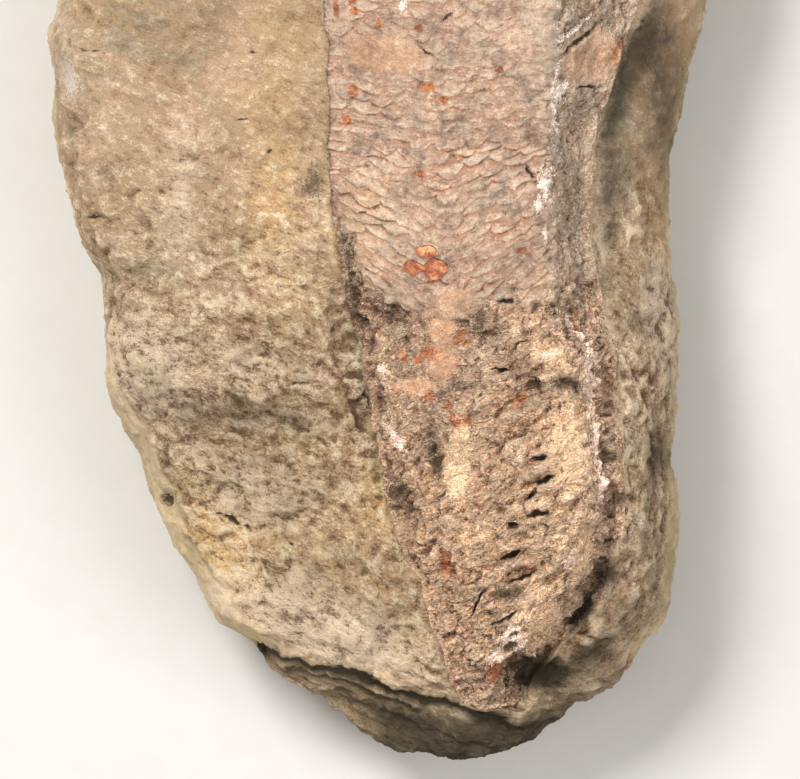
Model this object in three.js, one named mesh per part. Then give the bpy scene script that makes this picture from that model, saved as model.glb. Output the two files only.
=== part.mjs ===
// A fossil fish that stands out of the face of a stone nodule.
// The nodule lies on its flat underside with the fish on top: +Z is up, the fish's head
// points to +Y and its tail to -Y, and the origin is the middle of the underside.
// Both solids are lofted through ribs, closed loops of points at one y each. The nodule's
// ribs dip into a pocket that follows the fish's bowl, so that the fish is seated in it.

import * as THREE from 'three';

// ---- Driving dimensions, in millimetres ----

const HALF_LENGTH = 137.4; // the nodule, from its middle to either end
const SEAT_GAP = 0.3; // between the fish and its pocket
const RIM_LEVEL = 22; // height of the widest outline above the underside
const FLATTEN = 1.5; // how far the underside's curve would pass below the flat

const ROUND = { // how far in from the outline each edge is rounded, and how squarely
  leftRim: 9,
  rightRim: 12,
  tailEnd: 34,
  headEnd: 42,
  underside: 29,
  power: 2.2,
};

const COUNT = { // how finely each stretch of a rib is divided
  fishRibs: 58,
  endRibs: 4,
  leftFace: 10,
  rightFace: 5,
  fishTop: 22,
  fishBowl: 14,
  underside: 12,
};

// The outline seen from above: [y, x] from the tail end to the head end.
const TAIL_TIP = [-137.4, 13];
const HEAD_TIP = [137.4, 16];
const LEFT_OUTLINE = [
  TAIL_TIP, [-134.4, -3.6], [-130.4, -10.6], [-122.4, -21.2], [-114.4, -28.4], [-110.4, -34.6],
  [-102.4, -39], [-94.4, -44.4], [-86.4, -48.2], [-78.4, -50.4], [-70.4, -54.6], [-62.4, -57.8],
  [-54.4, -57.6], [-42.4, -58.2], [-34.4, -62.6], [-26.4, -64.6], [-10.4, -67.6], [-2.4, -67.8],
  [5.6, -69], [13.6, -66.6], [25.6, -65.4], [43.6, -62.8], [65.6, -59.8], [89.6, -52.8],
  [109.6, -38.8], [125.6, -20.8], HEAD_TIP,
];
const RIGHT_OUTLINE = [
  TAIL_TIP, [-134.4, 27.4], [-130.4, 34], [-126.4, 41.6], [-122.4, 45], [-114.4, 49.8],
  [-110.4, 53.2], [-106.4, 55], [-98.4, 55.8], [-90.4, 56.8], [-82.4, 56], [-78.4, 55.2],
  [-70.4, 56.6], [-54.4, 56.6], [-46.4, 56.2], [-38.4, 55.2], [-26.4, 54.6], [-18.4, 55.2],
  [-6.4, 57.6], [1.6, 59.4], [13.6, 63], [25.6, 65.6], [43.6, 68.2], [65.6, 69],
  [89.6, 65.2], [109.6, 57.2], [125.6, 45.2], [135.6, 29.2], HEAD_TIP,
];

// The fish and the faces beside it, section by section: x of its left edge, crest and right
// edge, then the heights of the left rim, the left face, the left edge, the crest, the right
// edge and the right rim, before the ends are rounded off.
const SECTIONS = [
  { y: -128.4, left: 13.6, crest: 21.2, right: 26.2, heights: [36, 39, 41, 43, 40, 34] },
  { y: -122.4, left: 11.2, crest: 22.2, right: 27.6, heights: [37, 40, 42, 47, 41, 35] },
  { y: -116.4, left: 9.8, crest: 25.2, right: 31.6, heights: [38, 42, 43.5, 51, 42.5, 35] },
  { y: -110.4, left: 7.2, crest: 30.8, right: 36.8, heights: [40, 43, 44.5, 54.5, 44, 36] },
  { y: -102.4, left: 4.8, crest: 37.2, right: 42.2, heights: [41, 44, 46, 58, 46, 37] },
  { y: -94.4, left: 1.2, crest: 40.6, right: 44.8, heights: [42, 44, 45, 59, 47, 38] },
  { y: -86.4, left: -1.2, crest: 41.2, right: 45.6, heights: [42, 45, 44, 60, 48, 39] },
  { y: -74.4, left: -3.8, crest: 40.6, right: 45.2, heights: [42, 45, 43.5, 60, 48.5, 39] },
  { y: -56.4, left: -6.4, crest: 38.8, right: 43.6, heights: [42, 46, 44, 60.5, 48, 39] },
  { y: -50.4, left: -8.4, crest: 35.2, right: 41.6, heights: [42, 46, 44.5, 60.5, 47, 38.5] },
  { y: -32.4, left: -12, crest: 31.2, right: 38.8, heights: [43, 47, 46.5, 60, 45, 38] },
  { y: -18.4, left: -12.8, crest: 30.6, right: 39.2, heights: [43.5, 47, 47.5, 60, 44.5, 37.5] },
  { y: 5.6, left: -13.2, crest: 32.4, right: 46.4, heights: [44, 47, 48, 60.5, 44, 38] },
  { y: 25.6, left: -13.8, crest: 32.8, right: 51.2, heights: [44, 47, 48, 61.5, 45, 39] },
  { y: 43.6, left: -14.8, crest: 30.2, right: 51.6, heights: [44, 47, 48, 61.5, 46, 39] },
  { y: 65.6, left: -14.4, crest: 26.2, right: 49.2, heights: [43, 46, 47, 61, 46, 39] },
  { y: 89.6, left: -11.8, crest: 21.2, right: 42.2, heights: [42, 45, 46, 60, 45.5, 38] },
  { y: 105.6, left: -5.8, crest: 17.2, right: 34.2, heights: [41, 44, 45, 57, 45, 38] },
  { y: 115.6, left: 1.2, crest: 14.8, right: 27.2, heights: [40, 43, 44, 53, 44, 37] },
  { y: 121.6, left: 8, crest: 14.2, right: 20, heights: [39, 42, 43, 48, 43, 36] },
];
const HEIGHT_NAMES = ['leftRim', 'leftFace', 'leftEdge', 'crest', 'rightEdge', 'rightRim'];
const TAIL_Y = SECTIONS[0].y;
const HEAD_Y = SECTIONS[SECTIONS.length - 1].y;

const END_FADE = 4; // how far past its ends the fish's relief dies away in the stone

// The fish's bowl, the part of it that is sunk in the stone: [y, depth].
const BOWL_DEPTH = [[TAIL_Y, 3], [-116, 6], [-90, 10], [60, 12], [105, 8], [HEAD_Y, 3.5]];

// Hollows and swellings of the faces: middle x and y, half-lengths along and across,
// heading of the long way in degrees from +X, and height (less than 0 for a hollow).
const FEATURES = [
  { name: 'upper valley', at: [-27, -69], half: [24, 5], heading: -9, height: -1.8 },
  { name: 'middle ridge', at: [-25, -82], half: [22, 5], heading: -6, height: 1.6 },
  { name: 'lower valley', at: [-17, -95], half: [20, 6], heading: -20, height: -2.2 },
  { name: 'lower rim swell', at: [-14, -108], half: [26, 5], heading: -42, height: 1.8 },
  { name: 'groove beside the fish', at: [-8, -55], half: [26, 3.2], heading: -76, height: -3 },
  { name: 'rough hollow', at: [-6.5, -53], half: [7, 4], heading: 0, height: -1.2 },
  { name: 'first edge hollow', at: [-63, -13], half: [4, 3], heading: 70, height: -5 },
  { name: 'second edge hollow', at: [-57, -22], half: [4, 3], heading: 30, height: -4 },
  { name: 'third edge hollow', at: [-50, -42], half: [5, 2.5], heading: 10, height: -3.5 },
  { name: 'left shoulder', at: [-52, -60], half: [12, 6], heading: -50, height: 1.6 },
  { name: 'pit', at: [-45, -86.5], half: [2.5, 2.5], heading: 0, height: -2.5 },
  { name: 'right groove', at: [46, 3], half: [14, 3], heading: 82, height: -2.4 },
  { name: 'flank hollow', at: [42, -101], half: [4.5, 4], heading: 0, height: -4.5 },
  { name: 'lower flank hollow', at: [35, -109], half: [6, 3.5], heading: 50, height: -4 },
  { name: 'hollow by the tail', at: [28.5, -121], half: [7, 3], heading: 55, height: -4 },
  { name: 'hole in the flank', at: [45, -88], half: [2.4, 2.4], heading: 0, height: -3 },
  { name: 'far flank swell', at: [52, -66], half: [12, 4], heading: 85, height: 2 },
];

// The ledge near the tail end, where the rough face breaks down to the weathered skin.
const LEDGE = { from: [-36, -108], to: [8, -127], drop: 3, width: 2.5 };

// Relief of the fish.
const SCALES = { height: 0.35, from: -50, to: 104 }; // facets, raised and sunk by turns
const CHEVRON = { tip: [9, -50], spread: 0.9, drop: 1.2, width: 3 }; // where the scales end
const VERTEBRAE = { // a row of slots on the tail's middle line
  from: [29.5, -76],
  to: [23.5, -117],
  halfWidth: 3,
  depth: 1.8,
};
const GILL = { at: [13, 92], radius: 19, width: 2.2, depth: 1.4 }; // edge of the gill cover
const EYE = { at: [9, 106], radius: 4.5, depth: 1.6 };

// Waves that make the stone lumpy: length, heading in degrees, height and phase.
const LUMPS = [
  { length: 41, heading: 24, height: 0.6, phase: 0.4 },
  { length: 29, heading: 112, height: 0.5, phase: 2.1 },
  { length: 17, heading: 68, height: 0.35, phase: 4.4 },
  { length: 12.5, heading: 151, height: 0.3, phase: 1.3 },
];

// ---- Small mathematics ----

const clamp01 = (t) => Math.min(1, Math.max(0, t));
const mix = (a, b, t) => a + (b - a) * t;
const smooth = (t) => clamp01(t) ** 2 * (3 - 2 * clamp01(t));
const radians = (degrees) => degrees * Math.PI / 180;
const steps = (count) => Array.from({ length: count + 1 }, (_, i) => i / count);
const eased = (t) => (1 - Math.cos(Math.PI * t)) / 2;

/** A smooth function through [x, value] points that never overshoots them. */
function curveThrough(points) {
  const chords = points.slice(1).map((p, i) => (p[1] - points[i][1]) / (p[0] - points[i][0]));
  const slopes = points.map((_, i) => {
    const before = chords[i - 1] ?? chords[0];
    const after = chords[i] ?? chords[chords.length - 1];
    return before * after <= 0 ? 0 : (2 * before * after) / (before + after);
  });
  return (x) => {
    const next = points.findIndex((p) => p[0] > x);
    if (next === 0) return points[0][1];
    if (next < 0) return points[points.length - 1][1];
    const [a, b] = [points[next - 1], points[next]];
    const span = b[0] - a[0];
    const t = (x - a[0]) / span;
    const bend = (1 - t) * slopes[next - 1] * (1 - t) * t - t * slopes[next] * (1 - t) * t;
    return mix(a[1], b[1], t * t * (3 - 2 * t)) + bend * span;
  };
}

/** How far the surface has risen at a distance in from an edge, from 0 to 1. */
function rounded(distance, reach) {
  const inside = 1 - clamp01(distance / reach);
  return (1 - inside ** ROUND.power) ** (1 / ROUND.power);
}

// ---- The shape as functions of x and y ----

const angleOf = (y) => Math.acos(-Math.min(1, Math.max(-1, y / HALF_LENGTH)));
const outline = (points) => {
  const curve = curveThrough(points.map(([y, x]) => [angleOf(y), x]));
  return (y) => curve(angleOf(y));
};
const leftOutline = outline(LEFT_OUTLINE);
const rightOutline = outline(RIGHT_OUTLINE);

const sectionCurve = (value) => curveThrough(SECTIONS.map((s) => [s.y, value(s)]));
const fishLeft = sectionCurve((s) => s.left);
const fishCrest = sectionCurve((s) => s.crest);
const fishRight = sectionCurve((s) => s.right);
const heights = Object.fromEntries(
  HEIGHT_NAMES.map((name, i) => [name, sectionCurve((s) => s.heights[i])]),
);
const bowlDepth = curveThrough(BOWL_DEPTH);

const endRounding = (y) => rounded(y + HALF_LENGTH, ROUND.tailEnd)
  * rounded(HALF_LENGTH - y, ROUND.headEnd);

/** The sum of the hollows and swellings at a point. */
function features(x, y) {
  return FEATURES.reduce((sum, { at, half, heading, height }) => {
    const [dx, dy] = [x - at[0], y - at[1]];
    const [c, s] = [Math.cos(radians(heading)), Math.sin(radians(heading))];
    const [along, across] = [(dx * c + dy * s) / half[0], (dy * c - dx * s) / half[1]];
    return sum + height * Math.exp(-(along ** 2) - across ** 2);
  }, 0);
}

/** The sum of the waves at a point. */
function lumps(x, y) {
  return LUMPS.reduce((sum, { length, heading, height, phase }) => {
    const way = x * Math.cos(radians(heading)) + y * Math.sin(radians(heading));
    return sum + height * Math.sin((2 * Math.PI * way) / length + phase);
  }, 0);
}

/** The step down to the weathered skin, left of the tail. */
function ledge(x, y) {
  const [dx, dy] = [LEDGE.to[0] - LEDGE.from[0], LEDGE.to[1] - LEDGE.from[1]];
  const below = ((x - LEDGE.from[0]) * dy - (y - LEDGE.from[1]) * dx) / Math.hypot(dx, dy);
  const fade = smooth((LEDGE.to[0] + 10 - x) / 10);
  return -LEDGE.drop * smooth(below / LEDGE.width) * fade;
}

/** The fish's own relief: chevron, gill cover and eye socket. */
function fishRelief(x, y) {
  const { tip, spread, drop, width } = CHEVRON;
  const edge = tip[1] + Math.abs(x - tip[0]) * spread * (x > tip[0] ? 0.25 : 1);
  const below = -drop * smooth((edge - y) / width) * smooth((y - TAIL_Y) / 20);
  const toGill = Math.hypot(x - GILL.at[0], y - GILL.at[1]) - GILL.radius;
  const gill = y < GILL.at[1] ? -GILL.depth * Math.exp(-((toGill / GILL.width) ** 2)) : 0;
  const toEye = Math.hypot(x - EYE.at[0], y - EYE.at[1]) / EYE.radius;
  return below + gill - EYE.depth * Math.exp(-(toEye ** 2));
}

/** The crest's height, which sinks to the level of the edges past the fish's ends. */
function crestHeight(y) {
  const past = Math.max(TAIL_Y - y, y - HEAD_Y, 0);
  const level = (heights.leftEdge(y) + heights.rightEdge(y)) / 2;
  return mix(heights.crest(y), level, smooth(past / END_FADE));
}

/** The height of the upper face before its rims and ends are rounded off. */
function face(x, y) {
  const [left, crest, right] = [fishLeft(y), fishCrest(y), fishRight(y)];
  const of = (name) => heights[name](y);
  if (x <= left) {
    const t = clamp01((left - x) / (left - leftOutline(y)));
    const inner = mix(of('leftEdge'), of('leftFace'), smooth(t * 2.5));
    return mix(inner, of('leftRim'), smooth((t - 0.5) * 2));
  }
  if (x >= right) {
    return mix(of('rightEdge'), of('rightRim'), clamp01((x - right) / (rightOutline(y) - right)));
  }
  if (x <= crest) {
    const rise = Math.sin((Math.PI / 2) * ((x - left) / (crest - left)));
    return mix(of('leftEdge'), crestHeight(y), rise ** 0.9) + fishRelief(x, y);
  }
  const fall = Math.sin((Math.PI / 2) * ((x - crest) / (right - crest)));
  return mix(crestHeight(y), of('rightEdge'), fall) + fishRelief(x, y);
}

/** The height of the finished upper surface. */
function topHeight(x, y) {
  const [fromLeft, fromRight] = [x - leftOutline(y), rightOutline(y) - x];
  const rim = rounded(fromLeft, ROUND.leftRim) * rounded(fromRight, ROUND.rightRim);
  const raw = face(x, y) + features(x, y) + lumps(x, y) + ledge(x, y);
  return RIM_LEVEL + (raw - RIM_LEVEL) * rim * endRounding(y);
}

/** The height of the underside, flat over its middle. */
function undersideHeight(x, y) {
  const [fromLeft, fromRight] = [x - leftOutline(y), rightOutline(y) - x];
  const { underside } = ROUND;
  const rim = rounded(fromLeft, underside) * rounded(fromRight, underside);
  return Math.max(0, RIM_LEVEL - (RIM_LEVEL + FLATTEN) * rim * endRounding(y));
}

/** Where rib i of the fish stands up or dips as a vertebra slot. */
function slotDepth(x, y, i) {
  const { from, to, halfWidth, depth } = VERTEBRAE;
  const t = clamp01((y - from[1]) / (to[1] - from[1]));
  const beside = (x - mix(from[0], to[0], t)) / halfWidth;
  const inRow = y < from[1] && y > to[1] && i % 2 === 0;
  return inRow ? depth * Math.exp(-(beside ** 2)) : 0;
}

// ---- Ribs ----

/** The fish's upper line at rib i, from its left edge to its right edge. */
function fishTopLine(y, i) {
  return steps(COUNT.fishTop).map((t, j) => {
    const x = mix(fishLeft(y), fishRight(y), t);
    const onEdge = j === 0 || j === COUNT.fishTop;
    const scaled = !onEdge && y > SCALES.from && y < SCALES.to;
    const scale = scaled ? SCALES.height * ((i + j) % 2 ? 1 : -1) : 0;
    return new THREE.Vector3(x, y, topHeight(x, y) + scale - (onEdge ? 0 : slotDepth(x, y, i)));
  });
}

/** The bowl under the fish, from left to right, moved out into the stone by a distance. */
function bowlLine(y, out) {
  const [left, right] = [fishLeft(y), fishRight(y)];
  const [zLeft, zRight] = [topHeight(left, y), topHeight(right, y)];
  const [middle, half] = [(left + right) / 2, (right - left) / 2];
  return steps(COUNT.fishBowl).map((t) => {
    const [across, down] = [-Math.cos(Math.PI * t), Math.sin(Math.PI * t)];
    const chord = mix(zLeft, zRight, eased(t));
    return new THREE.Vector3(
      middle + across * (half + out),
      y,
      chord - down * (bowlDepth(y) + out),
    );
  });
}

/** Points of the upper face between two x, both ends included. */
const faceLine = (from, to, count, y, spacing) => steps(count).map((t) => {
  const x = mix(from, to, spacing(t));
  return new THREE.Vector3(x, y, topHeight(x, y));
});

/** The nodule's lower line, from just inside the right rim to just inside the left one. */
function undersideLine(y) {
  const inner = steps(COUNT.underside).slice(1, -1);
  return inner.map((t) => {
    const x = mix(rightOutline(y), leftOutline(y), eased(t));
    return new THREE.Vector3(x, y, undersideHeight(x, y));
  });
}

/** One rib of the nodule, with the pocket where the fish lies and closed elsewhere. */
function noduleRib(y, hasPocket) {
  const [left, right] = [leftOutline(y), rightOutline(y)];
  const nearest = Math.min(HEAD_Y, Math.max(TAIL_Y, y));
  const share = (x) => mix(left, right,
    (x - leftOutline(nearest)) / (rightOutline(nearest) - leftOutline(nearest)));
  const seam = hasPocket
    ? [fishLeft(y) - SEAT_GAP, fishRight(y) + SEAT_GAP]
    : [share(fishLeft(nearest) - SEAT_GAP), share(fishRight(nearest) + SEAT_GAP)];
  const middle = hasPocket
    ? bowlLine(y, SEAT_GAP)
    : faceLine(seam[0], seam[1], COUNT.fishBowl, y, eased);
  const nearRim = (t) => Math.sin((Math.PI / 2) * t) ** 2 * 0.35 + t ** 1.6 * 0.65;
  return [
    ...faceLine(left, seam[0], COUNT.leftFace, y, nearRim).slice(0, -1),
    ...middle,
    ...faceLine(seam[1], right, COUNT.rightFace, y, (t) => 1 - nearRim(1 - t)).slice(1),
    ...undersideLine(y),
  ];
}

// ---- Solids ----

/** A closed mesh lofted through loops of equal length, each end closed to one point. */
function loft(ribs, startPoint, endPoint) {
  const size = ribs[0].length;
  const points = [startPoint, ...ribs.flat(), endPoint];
  const at = (rib, k) => 1 + rib * size + (k % size);
  const faces = [];
  for (let k = 0; k < size; k += 1) {
    faces.push(0, at(0, k + 1), at(0, k));
    faces.push(points.length - 1, at(ribs.length - 1, k), at(ribs.length - 1, k + 1));
  }
  for (let rib = 0; rib < ribs.length - 1; rib += 1) {
    for (let k = 0; k < size; k += 1) {
      faces.push(at(rib, k), at(rib, k + 1), at(rib + 1, k + 1));
      faces.push(at(rib, k), at(rib + 1, k + 1), at(rib + 1, k));
    }
  }
  const geometry = new THREE.BufferGeometry().setFromPoints(points);
  geometry.setIndex(faces);
  geometry.computeVertexNormals();
  return geometry;
}

const centreOf = (points) => points
  .reduce((sum, p) => sum.add(p), new THREE.Vector3())
  .divideScalar(points.length);

const fishStations = steps(COUNT.fishRibs).map((t) => mix(TAIL_Y, HEAD_Y, t));

/** The y of each rib between the fish and an end, closer together towards the end. */
function endStations(fishEnd, tip) {
  return steps(COUNT.endRibs + 1).slice(1, -1)
    .map((t) => mix(fishEnd, tip, Math.sin((Math.PI / 2) * t)));
}

function fishGeometry() {
  const ribs = fishStations.map((y, i) => [
    ...fishTopLine(y, i),
    ...bowlLine(y, 0).slice(1, -1).reverse(),
  ]);
  return loft(ribs, centreOf(ribs[0]), centreOf(ribs[ribs.length - 1]));
}

function noduleGeometry() {
  const tailRibs = [TAIL_Y - SEAT_GAP, ...endStations(TAIL_Y - SEAT_GAP, TAIL_TIP[0])].reverse();
  const headRibs = [HEAD_Y + SEAT_GAP, ...endStations(HEAD_Y + SEAT_GAP, HEAD_TIP[0])];
  const ribs = [
    ...tailRibs.map((y) => noduleRib(y, false)),
    ...fishStations.map((y) => noduleRib(y, true)),
    ...headRibs.map((y) => noduleRib(y, false)),
  ];
  const tip = ([y, x]) => new THREE.Vector3(x, y, RIM_LEVEL);
  return loft(ribs, tip(TAIL_TIP), tip(HEAD_TIP));
}

// ---- Materials and assembly ----

const limestone = new THREE.MeshStandardMaterial({
  color: 0xb39673, roughness: 0.95, metalness: 0, flatShading: true,
});
const fossilBone = new THREE.MeshStandardMaterial({
  color: 0xc39d82, roughness: 0.85, metalness: 0, flatShading: true,
});

function namedMesh(name, geometry, material) {
  const mesh = new THREE.Mesh(geometry, material);
  mesh.name = name;
  return mesh;
}

const group = new THREE.Group();
group.name = 'fossil_fish';
group.add(
  namedMesh('stone_nodule', noduleGeometry(), limestone),
  namedMesh('fossil_fish_body', fishGeometry(), fossilBone),
);

export default group;
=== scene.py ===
"""Dress the fossil fish and the stone nodule that holds it.

The nodule lies on its flat underside with the fish on top, the tail towards -Y. Lengths are
millimetres until a mesh is written, which is in metres. Each surface is a grid of ribs, closed
loops of points at one y each, worked out with numpy as whole arrays, then moved along its
normal by the relief of its own kind: broken stone, weathered skin, scales or bone.
"""

from __future__ import annotations

import logging
from dataclasses import dataclass, field
from enum import Enum
from itertools import product
from typing import Callable, Sequence, Union

import bpy
import numpy as np
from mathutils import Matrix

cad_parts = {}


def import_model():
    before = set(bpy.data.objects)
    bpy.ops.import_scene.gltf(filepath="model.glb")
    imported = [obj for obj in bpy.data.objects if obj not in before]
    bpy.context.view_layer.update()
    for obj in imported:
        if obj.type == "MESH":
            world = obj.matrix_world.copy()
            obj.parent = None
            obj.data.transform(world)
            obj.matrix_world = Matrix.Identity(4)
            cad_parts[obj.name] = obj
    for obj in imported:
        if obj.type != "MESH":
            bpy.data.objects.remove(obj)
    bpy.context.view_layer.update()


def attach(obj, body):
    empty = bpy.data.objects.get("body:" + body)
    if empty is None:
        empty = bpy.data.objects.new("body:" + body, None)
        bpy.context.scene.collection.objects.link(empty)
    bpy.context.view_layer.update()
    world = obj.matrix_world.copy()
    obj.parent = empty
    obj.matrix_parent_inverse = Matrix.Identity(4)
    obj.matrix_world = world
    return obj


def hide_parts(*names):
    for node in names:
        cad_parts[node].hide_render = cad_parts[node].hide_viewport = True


LOG = logging.getLogger("fossil_fish")
MM = 0.001
BAKE_MAP = "OFBake"

Array = np.ndarray
Point = tuple[float, float]
Number = Union[float, "Value"]
Socket = bpy.types.NodeSocket
Places = Union[Array, "Value"]
Colour = Union[Socket, str, tuple[float, ...]]


# ---- Numbers and curves ----


def mix(a: Array | float, b: Array | float, t: Array | float) -> Array:
    """Blend from a to b as t goes from 0 to 1."""
    return a + (b - a) * t


def smooth(t: Array | float) -> Array:
    """Rise from 0 to 1 with level ends: 3 t squared minus 2 t cubed, t held in 0 to 1."""
    t = np.clip(t, 0.0, 1.0)
    return t * t * (3.0 - 2.0 * t)


def rounded(distance: Array, reach: float, power: float = 2.2) -> Array:
    """Rise from 0 at an edge to 1 at a distance in from it, as a squarish quarter circle."""
    inside = 1.0 - np.clip(distance / reach, 0.0, 1.0)
    return (1.0 - inside**power) ** (1.0 / power)


def half_turn(t: Array) -> Array:
    """Go from 0 to 1 as the shadow of a point that turns through half a circle."""
    return (1.0 - np.cos(np.pi * t)) / 2.0


def bell(t: Array) -> Array:
    """1 at 0, dying away to both sides: e to the power of minus t squared."""
    return np.exp(-(t**2))


def turned(x: Array, y: Array, heading: float) -> tuple[Array, Array]:
    """Coordinates along and across a heading, in degrees from +X."""
    c, s = np.cos(np.radians(heading)), np.sin(np.radians(heading))
    return x * c + y * s, y * c - x * s


class CurveThrough:
    """A smooth function through given points that never overshoots them."""

    def __init__(self, points: Sequence[Point]) -> None:
        """Take the points in rising order and give each the harmonic mean slope.

        Args:
            points: pairs of a place and the value there.
        """
        self.knots, self.values = np.array(points, dtype=float).T
        chords = np.diff(self.values) / np.diff(self.knots)
        before, after = np.r_[chords[0], chords], np.r_[chords, chords[-1]]
        same_way = before * after > 0.0
        total = np.where(same_way, before + after, 1.0)
        self.slopes = np.where(same_way, 2.0 * before * after / total, 0.0)

    def __call__(self, at: Array | float) -> Array:
        """The value at a place, held level beyond the first and last points.

        Args:
            at: where to read the curve.

        Returns:
            The curve's value at each place.
        """
        at = np.clip(at, self.knots[0], self.knots[-1])
        i = np.clip(np.searchsorted(self.knots, at, side="right") - 1, 0, len(self.knots) - 2)
        span = self.knots[i + 1] - self.knots[i]
        t = (at - self.knots[i]) / span
        bend = (self.slopes[i] * (1.0 - t) - self.slopes[i + 1] * t) * (1.0 - t) * t
        return mix(self.values[i], self.values[i + 1], t * t * (3.0 - 2.0 * t)) + bend * span


# ---- Noise ----


def lattice_vectors(cell: Array, seed: int) -> Array:
    """Three random numbers from 0 to 1 for whole-numbered places.

    Each coordinate is multiplied by its own large odd number, the products and the seed are
    joined by exclusive or, two rounds of shift and product spread the bits, and ten of them
    make each number.

    Args:
        cell: the places, three whole numbers each.
        seed: the pattern's own number.

    Returns:
        Three numbers for each place.
    """
    c = cell.astype(np.int64).astype(np.uint32)
    bits = c[..., 0] * np.uint32(0x8DA6B343) ^ c[..., 1] * np.uint32(0xD8163841)
    bits ^= c[..., 2] * np.uint32(0xCB1AB31F) ^ np.uint32(seed * 7919 + 17)
    for shift, factor in ((13, 0x5BD1E995), (15, 0x27D4EB2D)):
        bits = (bits ^ (bits >> np.uint32(shift))) * np.uint32(factor)
    bits ^= bits >> np.uint32(16)
    parts = [(bits >> np.uint32(shift)) & np.uint32(1023) for shift in (0, 10, 20)]
    return np.stack(parts, axis=-1) / 1023.0


def noise(points: Array, seed: int) -> Array:
    """Gradient noise of about -1 to 1 with features one unit across.

    Each corner of a point's unit cell has a random slope. The slopes' heights at the point
    are blended by a fifth-degree step along each axis.

    Args:
        points: the points, in units of the largest feature.
        seed: the pattern's own number.

    Returns:
        One number for each point.
    """
    base = np.floor(points)
    part = points - base
    step = part**3 * (part * (part * 6.0 - 15.0) + 10.0)
    total = np.zeros(points.shape[:-1])
    for corner in product((0.0, 1.0), repeat=3):
        slope = lattice_vectors(base + corner, seed) * 2.0 - 1.0
        share = np.prod(np.where(np.array(corner) > 0.5, step, 1.0 - step), axis=-1)
        total += share * np.sum(slope * (part - corner), axis=-1)
    return total * 1.6


def fractal(points: Array, octaves: int, seed: int, gain: float = 0.5) -> Array:
    """Gradient noise summed over octaves, each half the size and gain times the height.

    Args:
        points: the points, in units of the largest feature.
        octaves: how many sizes of noise are summed.
        seed: the first octave's number.
        gain: each octave's height over that of the one before.

    Returns:
        One number for each point.
    """
    total = np.zeros(points.shape[:-1])
    for octave in range(octaves):
        total += gain**octave * noise(points * 2.03**octave + 11.7 * octave, seed + octave)
    return total


@dataclass(frozen=True)
class Cells:
    """Broken lumps one unit across, each point belonging to its nearest random centre.

    Attributes:
        nearest: distance to the lump's own centre.
        gap: how much further the next centre is, which is 0 on a crack.
        tone: a random number from 0 to 1, the same all over a lump.
        lean: how high the point stands on the lump's own sloping plane.
    """

    nearest: Array
    gap: Array
    tone: Array
    lean: Array

    @classmethod
    def at(cls, points: Array, seed: int) -> Cells:
        """Search the 27 cells around each point for the two nearest centres.

        Args:
            points: the points, in units of a lump's width.
            seed: the pattern's own number.

        Returns:
            What each point reads from its lump.
        """
        base = np.floor(points)
        nearest = np.full(points.shape[:-1], 9.0)
        second, tone, lean = nearest.copy(), nearest.copy(), nearest.copy()
        for corner in product((-1.0, 0.0, 1.0), repeat=3):
            centre = lattice_vectors(base + corner, seed)
            away = points - base - corner - centre
            distance = np.sqrt(np.sum(away * away, axis=-1))
            closer = distance < nearest
            second = np.where(closer, nearest, np.minimum(second, distance))
            nearest = np.where(closer, distance, nearest)
            tone = np.where(closer, centre[..., 0], tone)
            lean = np.where(closer, np.sum(away * (centre[..., ::-1] - 0.5), axis=-1), lean)
        return cls(nearest, second - nearest, tone, lean)


def blurred(values: Array, reach: int, wraps: bool) -> Array:
    """The mean over a square of grid points, twice over, along both ways of the grid.

    Args:
        values: one number for each point of the grid.
        reach: how many points the square reaches to each side.
        wraps: whether the second way of the grid closes on itself.
    """
    for _ in range(2):
        for axis in (0, 1):
            mode = "wrap" if wraps and axis == 1 else "edge"
            pad = [(0, 0), (0, 0)]
            pad[axis] = (reach + 1, reach)
            sums = np.cumsum(np.pad(values, pad, mode=mode), axis=axis)
            width = 2 * reach + 1
            count = values.shape[axis]
            high = np.take(sums, np.arange(width, width + count), axis=axis)
            values = (high - np.take(sums, np.arange(count), axis=axis)) / width
    return values


# ---- The specimen's shape, as in the solids ----

TAIL_TIP = (-137.4, 13.0)
HEAD_TIP = (137.4, 16.0)
LEFT_OUTLINE = (
    TAIL_TIP, (-134.4, -3.6), (-130.4, -10.6), (-122.4, -21.2), (-114.4, -28.4),
    (-110.4, -34.6), (-102.4, -39.0), (-94.4, -44.4), (-86.4, -48.2), (-78.4, -50.4),
    (-70.4, -54.6), (-62.4, -57.8), (-54.4, -57.6), (-42.4, -58.2), (-34.4, -62.6),
    (-26.4, -64.6), (-10.4, -67.6), (-2.4, -67.8), (5.6, -69.0), (13.6, -66.6),
    (25.6, -65.4), (43.6, -62.8), (65.6, -59.8), (89.6, -52.8), (109.6, -38.8),
    (125.6, -20.8), HEAD_TIP,
)
RIGHT_OUTLINE = (
    TAIL_TIP, (-134.4, 27.4), (-130.4, 34.0), (-126.4, 41.6), (-122.4, 45.0),
    (-114.4, 49.8), (-110.4, 53.2), (-106.4, 55.0), (-98.4, 55.8), (-90.4, 56.8),
    (-82.4, 56.0), (-78.4, 55.2), (-70.4, 56.6), (-54.4, 56.6), (-46.4, 56.2),
    (-38.4, 55.2), (-26.4, 54.6), (-18.4, 55.2), (-6.4, 57.6), (1.6, 59.4),
    (13.6, 63.0), (25.6, 65.6), (43.6, 68.2), (65.6, 69.0), (89.6, 65.2),
    (109.6, 57.2), (125.6, 45.2), (135.6, 29.2), HEAD_TIP,
)
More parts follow.
